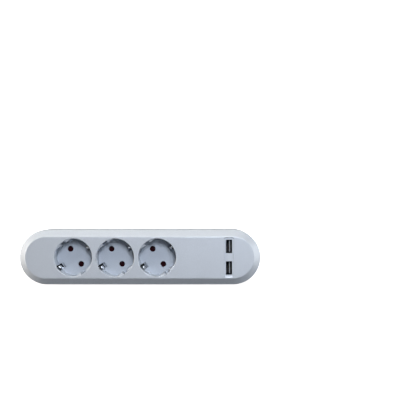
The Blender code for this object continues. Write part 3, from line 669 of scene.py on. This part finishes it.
def base_plate():
    """The bottom: a black plate with a softened edge, counterbored screws and a ring round each foot."""
    low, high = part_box("base_plate")
    radius = END_RADIUS - WALL - 0.1 * MM
    top = low.z + PLATE_THICK
    nick = 0.3 * PLATE_EDGE
    rings = [
        at_height(stadium(radius - PLATE_EDGE), low.z),
        at_height(stadium(radius - nick), low.z + nick),
        at_height(stadium(radius), low.z + PLATE_EDGE),
        at_height(stadium(radius), top),
    ]
    plate = new_object("base_shell", loft(rings))
    pillars = bmesh.new()
    for place in screw_places("carrier_screw").values():
        lathe(place, [(low.z + PLATE_THICK / 2, PILLAR_RADIUS), (high.z, PILLAR_RADIUS)], 32, pillars)
    join(plate, pillars)
    holes = bmesh.new()
    for place in screw_places("carrier_screw").values():
        lathe(place, [(top - PLATE_THICK / 2, SCREW_HOLE), (high.z + PAST, SCREW_HOLE)], 24, holes)
    lead, floor = 0.2 * MM, low.z + COUNTERBORE_DEPTH
    for place in screw_places("housing_screw").values():
        profile = [
            (low.z - PAST, COUNTERBORE + PAST),
            (low.z, COUNTERBORE + lead),
            (low.z + lead, COUNTERBORE),
            (floor, COUNTERBORE),
            (floor, SCREW_HOLE),
            (top + PAST, SCREW_HOLE),
        ]
        lathe(place, profile, 40, holes)
    cut(plate, holes)
    inner, outer, depth = FOOT_GROOVE
    loop = [(low.z - PAST, inner), (low.z - PAST, outer), (low.z + depth, outer), (low.z + depth, inner)]
    grooves = bmesh.new()
    for number in FEET:
        tube_solid(middle(f"foot_{number}"), loop, 64, grooves)
    cut(plate, grooves)
    cut(plate, prism(rounded((0, 0), LABEL_SIZE, 2 * MM), low.z - PAST, low.z + LABEL_DEPTH))
    piece(plate, "housing", "black_plastic", FINISH["black_plastic"], "base_plate")


TREAD_DEPTH = 0.25
TREAD_RINGS = ((0.6, 0.9, 2.2, 2.4), (2.9, 3.1, 4.2, 4.4))  # radii in mm where each ring rises and falls
TREAD_RIM = (4.8, 5.0)


def feet():
    """Rubber discs with a softened edge and two shallow rings on the underside."""
    for number in FEET:
        low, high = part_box(f"foot_{number}")
        radius = (high.x - low.x) / 2
        tread = []
        for start, rise, fall, end in TREAD_RINGS:
            tread += [(TREAD_DEPTH, start), (0, rise), (0, fall), (TREAD_DEPTH, end)]
        tread += [(TREAD_DEPTH, TREAD_RIM[0]), (0, TREAD_RIM[1])]
        profile = [(low.z + depth * MM, reach * MM) for depth, reach in tread]
        edge = 0.4 * MM
        profile += [(low.z, radius - edge), (low.z + 0.12 * MM, radius - 0.1 * MM), (low.z + edge, radius)]
        profile.append((high.z + GAP, radius))
        made = new_object(f"rubber_foot_{number}", lathe(middle(f"foot_{number}"), profile, 64))
        piece(made, "housing", "rubber", FINISH["rubber"], f"foot_{number}")


SCREW_HEAD = ((0, 1.5), (0, 2.0), (0.15, 2.3), (0.45, 2.5), (1.3, 2.5), (1.3, 1.25))  # height, radius in mm
THREAD_START = 1.5 * MM
THREAD_PITCH = 0.55 * MM
THREAD_ROOT = 0.95 * MM
THREAD_CREST = 1.2 * MM
THREAD_RISE = 0.27 * MM
TIP_LENGTH = 0.6 * MM
CROSS_REACH = 1.5 * MM
CROSS_HALF = 0.32 * MM
CROSS_DEPTH = 0.9 * MM


def screws():
    """Pan-head screws with a cross recess, each on its frame screw's axis."""
    a, b = CROSS_REACH, CROSS_HALF
    arms = [(a, b), (b, b), (b, a), (-b, a), (-b, b), (-a, b)]
    cross = arms + [(-x, -y) for x, y in arms]
    for prefix in ("housing_screw", "carrier_screw", "board_screw"):
        for name, place in screw_places(prefix).items():
            low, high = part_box(name)
            up = prefix != "carrier_screw"
            face, tip = (low.z, high.z) if up else (high.z, low.z)
            way = 1 if up else -1
            profile = [(face + way * rise * MM, reach * MM) for rise, reach in SCREW_HEAD]
            turns = int(abs(tip - face) / THREAD_PITCH) - 4
            for k in range(turns):
                start = face + way * (THREAD_START + THREAD_PITCH * k)
                profile += [(start, THREAD_ROOT), (start + way * THREAD_RISE, THREAD_CREST)]
            profile += [(tip - way * TIP_LENGTH, 0.9 * MM), (tip, 0.3 * MM)]
            made = new_object(f"{name}_turned", lathe(place, profile, 32))
            depth = sorted((face - way * PAST, face + way * CROSS_DEPTH))
            cut(made, prism(turned(cross, 0.4, place), *depth))
            piece(made, "housing", "zinc_steel", FINISH["zinc_steel"], name)


# ------------------------------------------------------------------ sockets


CUP_FLOOR = 2.5 * MM
POST_RADIUS = 2 * MM
SHELF_WALL = 0.8 * MM
HOLE_RIM = 0.2 * MM


def socket_cup(number):
    """The recess: wall, rounded floor edge, pin holes with softened rims, and the earth slots."""
    node = f"socket_cup_{number}"
    center = middle(node)
    low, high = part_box(node)
    radius = (high.x - low.x) / 2
    under = RECESS_FLOOR - CUP_FLOOR
    top, slope = FACE_UNDER - 0.02 * MM, 0.9 * MM
    profile = [(under, radius), (top - slope, radius), (top, radius - slope)]
    cup = new_object(f"cup_{number}", lathe(center, profile, ROUND_STEPS))
    post = [(low.z, POST_RADIUS - GAP), (low.z + GAP, POST_RADIUS), (under + PAST, POST_RADIUS)]
    join(cup, lathe(center, post, 32))
    shelf_top = RECESS_FLOOR - SHELF_DEPTH
    half = SLOT_HALF + SHELF_WALL
    for side in (0, math.pi):
        shelf = rectangle(SLOT_INNER - SHELF_WALL, SHELF_OUTER + PAST / 2, -half, half)
        join(cup, prism(turned(shelf, EARTH_ANGLE + side, center), shelf_top - SHELF_THICK, under + PAST))
    rings, steps = [], 4
    for k in range(steps + 1):
        a = math.pi / 2 * k / steps
        rings.append((RECESS_FLOOR + FLOOR_ROUND * (1 - math.cos(a)), -FLOOR_ROUND * (1 - math.sin(a))))
    rings.append((FACE, 0))
    cut(cup, loft([at_height(recess_outline(center, grow), z) for z, grow in rings]))
    holes, slots, ribs = floor_cutters(center, under, radius, shelf_top)
    cut(cup, holes)
    cut(cup, slots)
    join(cup, ribs)
    piece(cup, "housing", "cup_grey", FINISH["cup_grey"], node)


def floor_cutters(center, under, radius, shelf_top):
    """The pin holes and earth pockets, the slots that go right through, and the ribs across the pockets."""
    holes, slots, ribs = bmesh.new(), bmesh.new(), bmesh.new()
    lip, wide = RECESS_FLOOR - PIN_HOLE_LIP, PIN_HOLE + PIN_HOLE_RELIEF
    for side in (0, math.pi):
        pin = turned([(PIN_REACH, 0)], PIN_ANGLE + side, center)[0]
        steps = [(under - PAST, wide), (lip, wide), (lip, PIN_HOLE)]
        lathe(pin, steps + [(z, PIN_HOLE + grow) for z, grow in flare(RECESS_FLOOR, HOLE_RIM)], 48, holes)
        pocket = rectangle(SLOT_INNER, SHELF_OUTER + PAST, -SLOT_HALF, SLOT_HALF)
        prism(turned(pocket, EARTH_ANGLE + side, center), shelf_top, FACE, holes)
        for r in RIB_PLACES:
            rib = rectangle(r - RIB_HALF, r + RIB_HALF, -SLOT_HALF - RIB_HALF, SLOT_HALF + RIB_HALF)
            outline = turned(rib, EARTH_ANGLE + side, center)
            prism(outline, shelf_top - RIB_HALF, RECESS_FLOOR - RIB_DEPTH, ribs)
        slot = rectangle(SHELF_OUTER, radius + PAST, -SLOT_HALF - SLOT_STEP, SLOT_HALF + SLOT_STEP)
        prism(turned(slot, EARTH_ANGLE + side, center), shelf_top - 2 * SHELF_THICK, FACE, slots)
    return holes, slots, ribs


SHUTTER_PAD = 3.3 * MM
SHUTTER_HUB = 4.4 * MM
SHUTTER_BORE = 2.2 * MM
SHUTTER_EDGE = 0.25 * MM
RAMP_DEPTH = 1.1 * MM
RAMP_REACH = (5.4 * MM, 19 * MM)


def shutter(number):
    """The turning bar behind the pin holes, with a ramp on each pad for the plug's pins."""
    node = f"shutter_{number}"
    center = middle(node)
    low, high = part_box(node)
    edge = SHUTTER_EDGE
    edges = [(low.z, edge), (low.z + edge, 0), (high.z - edge, 0), (high.z, edge)]
    rings = []
    for z, inset in edges:
        ends = arc((PIN_REACH, 0), SHUTTER_PAD - inset, -math.pi / 2, math.pi / 2, 20)
        outline = ends + [(-x, -y) for x, y in ends]
        rings.append(at_height(turned(outline, PIN_ANGLE, center), z))
    bar = new_object(f"shutter_bar_{number}", loft(rings))
    join(bar, lathe(center, [(z, SHUTTER_HUB - inset) for z, inset in edges], 48))
    cutter = lathe(center, [(low.z - PAST, SHUTTER_BORE), (high.z + PAST, SHUTTER_BORE)], 32)
    lead, above = high.z - RAMP_DEPTH, high.z + PAST
    rise = SHUTTER_PAD * (1 + PAST / RAMP_DEPTH)
    outer = -SHUTTER_PAD - GAP
    wedge = [(outer, lead - GAP / 3), (rise - SHUTTER_PAD, above), (outer, above)]
    for side in (0, math.pi):
        ends = []
        for x in RAMP_REACH:
            flat = turned([(x, y) for y, _ in wedge], PIN_ANGLE + side, center)
            ends.append([(px, py, z) for (px, py), (_, z) in zip(flat, wedge)])
        loft(ends, cutter)
    cut(bar, cutter)
    piece(bar, node, "shutter_red", FINISH["shutter_red"], node)


COIL_RADIUS = 3.9 * MM
COIL_TURNS = 2
COIL_STEPS = 32
COIL_RISE = 1.3 * MM
COIL_FOOT = 1.75 * MM
FIXED_LEG = 2 * MM
MOVING_LEG = 6 * MM
WIRE_RADIUS = 0.25 * MM


def shutter_spring(number):
    """A torsion spring round the post. Its lower leg stays with the carrier, its upper one turns."""
    node = f"shutter_spring_{number}"
    low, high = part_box(node)
    cup = middle(f"socket_cup_{number}")
    bottom = low.z + COIL_FOOT
    count = COIL_TURNS * COIL_STEPS
    path = []
    for k in range(count + 1):
        angle = PIN_ANGLE + math.pi / 2 - 2 * math.pi * k / COIL_STEPS
        x, y = turned([(COIL_RADIUS, 0)], angle, cup)[0]
        path.append(Vector((x, y, bottom + COIL_RISE * k / count)))
    along = Vector((math.cos(PIN_ANGLE), math.sin(PIN_ANGLE), 0))
    fixed, moving = path[0] - along * FIXED_LEG, path[-1] + along * MOVING_LEG
    path = [Vector((*fixed.xy, low.z)), fixed, *path, moving, Vector((*moving.xy, high.z))]
    made = wire(f"torsion_spring_{number}", path, WIRE_RADIUS)
    made.data.materials.clear()
    made.data.materials.append(FINISH["spring_steel"])
    made.data.shade_smooth()
    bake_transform(made)
    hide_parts(node)


RAIL_THICK = 0.8 * MM
RAIL_INNER = 12.3 * MM
RAIL_LINK = 4 * MM
CLIP_SIDE_VIEW = [(21.4, 12.2), (21.4, 18), (21.3, 23.6), (19.6, 27), (17.4, 30.2), (16.3, 32.8)]
CLIP_SIDE_VIEW += [(16.1, 35), (16.5, 36.9), (17.4, 37.8), (18.2, 37.4), (18.4, 36.4)]  # radius, height in mm
CLIP_WAIST = 22 * MM
CLIP_WIDTHS = (4.4, 1.9)  # below and above the waist, in mm


def earth_parts():
    """The earth rail, and a spring clip at each end of every socket's earth axis."""
    low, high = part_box("earth_busbar")
    level = 12 * MM
    inner, outer, link = RAIL_INNER, high.y, low.x + RAIL_LINK
    outline = [
        (low.x, -outer),
        (high.x, -outer),
        (high.x, -inner),
        (link, -inner),
        (link, inner),
        (high.x, inner),
        (high.x, outer),
        (low.x, outer),
    ]
    rail = new_object("earth_rail", prism(outline, level, level + RAIL_THICK))
    piece(rail, "housing", "nickel", FINISH["nickel"], "earth_busbar")
    path = smooth_path([(r * MM, z * MM) for r, z in CLIP_SIDE_VIEW], 5)
    widths = [CLIP_WIDTHS[point.y >= CLIP_WAIST] * MM for point in path]
    for _ in range(6):
        widths = [sum(near) / 3 for near in zip([widths[0], *widths], widths, [*widths[1:], widths[-1]])]
    for number in SOCKETS:
        center = middle(f"socket_cup_{number}")
        for letter, side in (("a", 0), ("b", math.pi)):
            bent = strip(path, widths, RAIL_THICK, EARTH_ANGLE + side, center)
            clip = new_object(f"earth_clip_{number}{letter}", bent)
            piece(clip, "housing", "nickel", FINISH["nickel"], sharp=60)


# ------------------------------------------------------------------ USB ports


PORT_OPENING = (6.3 * MM, 13.6 * MM)
PORT_CORNER = 0.45 * MM
PORT_RIM = 0.08 * MM
BEZEL_EDGE = 0.12 * MM
BEZEL_BACK_GAP = 0.45 * MM
SLOPE_RUN = 2.4 * MM
SLOPE_HALF = 3.7 * MM
SLOPE_END = 0.05 * MM


def usb_bezel():
    """The inset plate, with a softened edge and a softened rim round each port."""
    low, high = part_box("usb_bezel")
    center = middle("usb_bezel")
    size = high - low
    place = (center.x, center.y - BEZEL_BACK_GAP / 2)
    edges = [(low.z, 0), (high.z - BEZEL_EDGE, 0), (high.z - 0.04 * MM, 0.03 * MM), (high.z, BEZEL_EDGE)]
    rings = []
    for z, inset in edges:
        area = (size.x - 2 * inset, size.y - 2 * inset - BEZEL_BACK_GAP)
        rings.append(at_height(rounded(place, area, BEZEL_CORNER - inset), z))
    plate = new_object("usb_plate", loft(rings))
    join(plate, bezel_slope(low, high, center))
    ports = bmesh.new()
    for number in PORTS:
        port = middle(f"usb_shell_{number}")
        rings = []
        for z, grow in [(low.z - PAST, 0), *flare(high.z, PORT_RIM)]:
            area = (PORT_OPENING[0] + 2 * grow, PORT_OPENING[1] + 2 * grow)
            rings.append(at_height(rounded(port, area, PORT_CORNER + grow, 3), z))
        loft(rings, ports)
    cut(plate, ports)
    piece(plate, "housing", "cup_grey", FINISH["cup_grey"], "usb_bezel")


def bezel_slope(low, high, center):
    """The plate's front end slopes up to the face."""
    foot, end = low.y + SLOPE_RUN, low.y + SLOPE_END
    side_view = [(foot, high.z), (end, FACE - SLOPE_END), (end, high.z - PAST), (foot, high.z - PAST)]
    return loft([[(x, y, z) for y, z in side_view] for x in (center.x - SLOPE_HALF, center.x + SLOPE_HALF)])


SHELL_WALL = 0.3 * MM
WINDOW = (10 * MM, 2 * MM)
WINDOW_REACH = 3 * MM
WINDOW_HEIGHTS = (-8 * MM, -4 * MM)  # from the shell's top
INSULATOR_HEIGHT = 2 * MM
TONGUE_OFFSET = 0.6 * MM
TONGUE_SIZE = (1.2 * MM, 11.1 * MM)
TONGUE_CORNER = 0.3 * MM
CONTACT_PITCH = 2.3 * MM
CONTACT_HALF = 0.5 * MM
CONTACT_DROP = 2.5 * MM


def usb_port(number):
    """A folded shell with spring windows, and the tongue on its base with its four contacts. The shell's
    near-black tin is painted shade inside the port; the base is the tongue's own moulding given black
    plastic, painted shade deep in the port under the grey tongue.
    """
    node = f"usb_shell_{number}"
    low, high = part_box(node)
    center = middle(node)
    size = high - low
    shell = new_object(f"port_shell_{number}", prism(rounded(center, size.xy, 0.6 * MM), low.z, high.z))
    inside = rounded(center, (size.x - 2 * SHELL_WALL, size.y - 2 * SHELL_WALL), 0.35 * MM)
    cut(shell, prism(inside, low.z + SHELL_WALL, high.z + PAST))
    windows = bmesh.new()
    bottom, top = (high.z + z for z in WINDOW_HEIGHTS)
    for side in (1, -1):
        prism(centred((center.x, center.y + side * WINDOW_REACH), WINDOW), bottom, top, windows)
    cut(shell, windows)
    # The shell's near-black metal is painted shade inside the port, not the colour of tin plate.
    piece(shell, "housing", "tin_plate", FINISH["tin_plate"], node)

    tongue_node = f"usb_tongue_{number}"
    low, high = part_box(tongue_node)
    block = high - low
    foot = low.z + INSULATOR_HEIGHT
    outline = rounded(center, block.xy, TONGUE_CORNER)
    # The base is part of the tongue's moulding; its black plastic is painted shade deep in the port.
    shaded_tongue_base = new_object(f"port_insulator_{number}", prism(outline, low.z, foot))
    piece(shaded_tongue_base, "housing", "tongue_black", FINISH["black_plastic"])
    thick, width = TONGUE_SIZE
    place = (center.x + TONGUE_OFFSET, center.y)
    rings = []
    for z, inset in ((foot, 0), (high.z - 0.5 * MM, 0), (high.z - 0.12 * MM, 0.15 * MM), (high.z, 0.25 * MM)):
        area = (thick - 2 * inset, width - 2 * inset)
        rings.append(at_height(rounded(place, area, TONGUE_CORNER), z))
    tongue = new_object(f"port_tongue_{number}", loft(rings))
    piece(tongue, "housing", "tongue_black", FINISH["tongue_black"], tongue_node)
    contacts = bmesh.new()
    face = place[0] - thick / 2
    for k in range(4):
        y = center.y + (k - 1.5) * CONTACT_PITCH
        outline = rectangle(face - 0.12 * MM, face + 0.1 * MM, y - CONTACT_HALF, y + CONTACT_HALF)
        prism(outline, foot, high.z - CONTACT_DROP, contacts)
    made = new_object(f"port_contacts_{number}", contacts)
    piece(made, "housing", "brass", FINISH["brass"])


# ------------------------------------------------------------------ appliance inlet


FLANGE_THICK = 2.2 * MM
FLANGE_CORNER = 2.0  # in mm
FLANGE_EDGE = ((0, 0.5), (0.15, 0.15), (0.5, 0))  # depth and inset in mm
CAVITY_BACK = 2.9 * MM
CAVITY_HALF = (12.45 * MM, 8.45 * MM)
CAVITY_SLANT = 4.5 * MM
CAVITY_CORNER = 0.7 * MM
CAVITY_LEAD = ((0.6, 0), (0.2, 0.12), (-0.3, 0.7))  # depth and growth in mm
PIN_SLEEVE = (2.2 * MM, 4.2 * MM)
PIN_POINT = ((0, 0.7), (0.15, 0.5), (0.5, 0.25), (1.2, 0.05), (1.8, 0))  # depth and inset in mm


def inlet():
    """The inlet's moulding with a softened flange and mouth, and its three flat pins."""
    low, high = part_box("inlet_housing")
    size = high - low
    place = (0, middle("inlet_housing").z)
    rings = []
    for x, inset in (*FLANGE_EDGE, (FLANGE_THICK / MM, 0)):
        area = (size.y - 2 * inset * MM, size.z - 2 * inset * MM)
        rings.append(at_height(rounded(place, area, (FLANGE_CORNER - inset) * MM), low.x + x * MM))
    housing = new_object("inlet_moulding", along_x(loft(rings)))
    join(housing, along_x(prism(rounded(place, INLET_BODY, MM), low.x + PAST, high.x)))
    back = high.x - CAVITY_BACK
    rings = [at_height(inlet_mouth(place, 0), back)]
    rings += [at_height(inlet_mouth(place, grow * MM), low.x + x * MM) for x, grow in CAVITY_LEAD]
    cut(housing, along_x(loft(rings)))
    holes = bmesh.new()
    names = ("live", "neutral", "earth")
    for name in names:
        pin = middle(f"inlet_pin_{name}")
        prism(centred((pin.y, pin.z), PIN_SLEEVE), back - PAST, high.x + PAST, holes)
    cut(housing, along_x(holes))
    piece(housing, "housing", "black_plastic", FINISH["black_plastic"], "inlet_housing")
    for name in names:
        inlet_pin(name)


def inlet_mouth(place, grow):
    """The cavity's outline in (y, z): its two upper corners are cut off."""
    half_y, half_z = CAVITY_HALF[0] + grow, CAVITY_HALF[1] + grow
    corners = [
        (-half_y, -half_z),
        (half_y, -half_z),
        (half_y, half_z - CAVITY_SLANT),
        (half_y - CAVITY_SLANT, half_z),
        (-half_y + CAVITY_SLANT, half_z),
        (-half_y, half_z - CAVITY_SLANT),
    ]
    outline = round_corners(corners, CAVITY_CORNER, 3, closed=True)
    return [(place[0] + y, place[1] + z) for y, z in outline]


def inlet_pin(name):
    """A flat pin whose tip narrows and rounds off."""
    node = f"inlet_pin_{name}"
    low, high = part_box(node)
    pin = middle(node)
    size = high - low
    rings = []
    for x, inset in (*PIN_POINT, ((high.x - low.x) / MM, 0)):
        area = (size.y - 2 * inset * MM, size.z - 2 * inset * MM)
        corner = (0.28 - 0.1 * inset) * MM
        rings.append(at_height(rounded((pin.y, pin.z), area, corner, 3), low.x + x * MM))
    made = new_object(f"flat_pin_{name}", along_x(loft(rings)))
    piece(made, "housing", "nickel", FINISH["nickel"], node)


# ------------------------------------------------------------------ parts kept from the frame


def carried_over():
    """The frame's own solids that stay as they are, each with its finish."""
    for row in frame["record"]["subparts"]:
        obj = frame["nodes"][row["node"]]
        if obj.hide_render:
            continue
        obj.data.materials.clear()
        obj.data.materials.append(FINISH[row["material_slot"]])


# ------------------------------------------------------------------ studio


GLOW = 0.85
TABLE_HALF = 3.0
TABLE_THICK = 20 * MM


def table_slab(name, shade, top):
    """A wide slab in an uneven pale grey, with its material."""
    n = Nodes(name)
    n.color(n.ramp(n.noise(6, 3), [(0.3, tinted((shade,) * 3, 0.99)), (0.7, tinted((shade,) * 3, 1.01))]))
    n.roughness(n.span(n.noise(30, 3), 0.85, 0.95))
    outline = rectangle(-TABLE_HALF, TABLE_HALF, -TABLE_HALF, TABLE_HALF)
    slab = new_object(name, prism(outline, top - TABLE_THICK, top))
    slab.data.materials.append(n.material)
    return slab, n


def seen_only(obj):
    """Hides a stage piece from the light, so that only the camera sees it."""
    obj.visible_diffuse = obj.visible_glossy = obj.visible_transmission = obj.visible_shadow = False


def table():
    """A table for the light to bounce off, and over it a glowing one that only the camera sees."""
    bounce, _ = table_slab("studio_bounce", 0.44, -1.2 * MM)
    bounce.visible_camera = False
    shown, n = table_slab("studio_floor", 0.93, -0.1 * MM)
    n.fixed(emission_color=(1, 1, 1, 1), emission_strength=GLOW)
    seen_only(shown)


def backdrop():
    """A pale wall right round the table, for views from low down."""
    n = Nodes("studio_wall")
    n.color(n.ramp(n.noise(2, 3), [(0.3, (0.9, 0.9, 0.9)), (0.7, (0.94, 0.94, 0.94))]))
    n.roughness(n.span(n.noise(8, 3), 0.85, 0.95))
    n.fixed(emission_color=(1, 1, 1, 1), emission_strength=GLOW)
    inner, outer, low, high = 2.8, 2.9, -0.1, 3.0
    loop = [(low, inner), (low, outer), (high, outer), (high, inner)]
    wall = new_object("studio_wall", tube_solid((0, 0), loop, 96))
    wall.data.materials.append(n.material)
    seen_only(wall)


def area_light(name, azimuth, elevation, distance, size, power, color):
    """A soft light that looks at the strip from this direction (degrees, anticlockwise from +X)."""
    turn, rise = math.radians(azimuth), math.radians(elevation)
    way = Vector((math.cos(rise) * math.cos(turn), math.cos(rise) * math.sin(turn), math.sin(rise)))
    light = bpy.data.lights.new(name, "AREA")
    light.shape = "RECTANGLE"
    light.size, light.size_y = size
    light.energy = power
    light.color = color
    obj = bpy.data.objects.new(name, light)
    obj.location = Vector((0, 0, FACE)) + way * distance
    obj.rotation_euler = way.to_track_quat("Z", "Y").to_euler()
    bpy.context.scene.collection.objects.link(obj)


def studio():
    """A soft light high at the back, low panels behind and at both sides, and hardly any fill."""
    cool, plain = (0.93, 0.98, 1.08), (1.02, 1.0, 0.97)
    warm, amber = (1.06, 1.0, 0.88), (1.12, 1.0, 0.87)
    far = 1.3
    area_light("key", 68, 65, far, (0.35, 0.35), 9.6, cool)
    area_light("overhead", 17, 70, 1.27, (0.6, 0.6), 1.7, cool)
    area_light("back_panel", 90, 12, far, (1.8, 0.3), 4.9, warm)
    area_light("back_upper_panel", 90, 35, far, (1.4, 0.4), 4.8, warm)
    area_light("left_panel", 175, 12, far, (1.0, 0.35), 14.4, amber)
    area_light("left_back_panel", 140, 15, far, (0.8, 0.35), 3.2, warm)
    area_light("right_panel", 5, 12, far, (1.0, 0.35), 9.6, plain)
    world = bpy.data.worlds.new("studio_air")
    bpy.context.scene.world = world
    world.use_nodes = True
    air = world.node_tree.nodes["Background"]
    air.inputs["Color"].default_value = (0.9, 0.96, 1.0, 1)
    air.inputs["Strength"].default_value = 0.02


LENS = 66.4
CAMERA_SIDE = (0.0609, 0.0581)
CAMERA_HEIGHT = 0.743  # over the socket face


def camera():
    """Above the strip, off to the back right, looking straight down."""
    data = bpy.data.cameras.new("camera")
    data.sensor_width = 36
    data.lens = LENS
    data.clip_start = 0.01
    obj = bpy.data.objects.new("camera", data)
    obj.location = (*CAMERA_SIDE, FACE + CAMERA_HEIGHT)
    bpy.context.scene.collection.objects.link(obj)
    bpy.context.scene.camera = obj


def main():
    top_cover()
    base_plate()
    feet()
    screws()
    for number in SOCKETS:
        socket_cup(number)
        shutter(number)
        shutter_spring(number)
    earth_parts()
    usb_bezel()
    for number in PORTS:
        usb_port(number)
    inlet()
    carried_over()
    table()
    backdrop()
    studio()
    camera()
    bpy.context.scene.view_settings.view_transform = "Standard"


main()
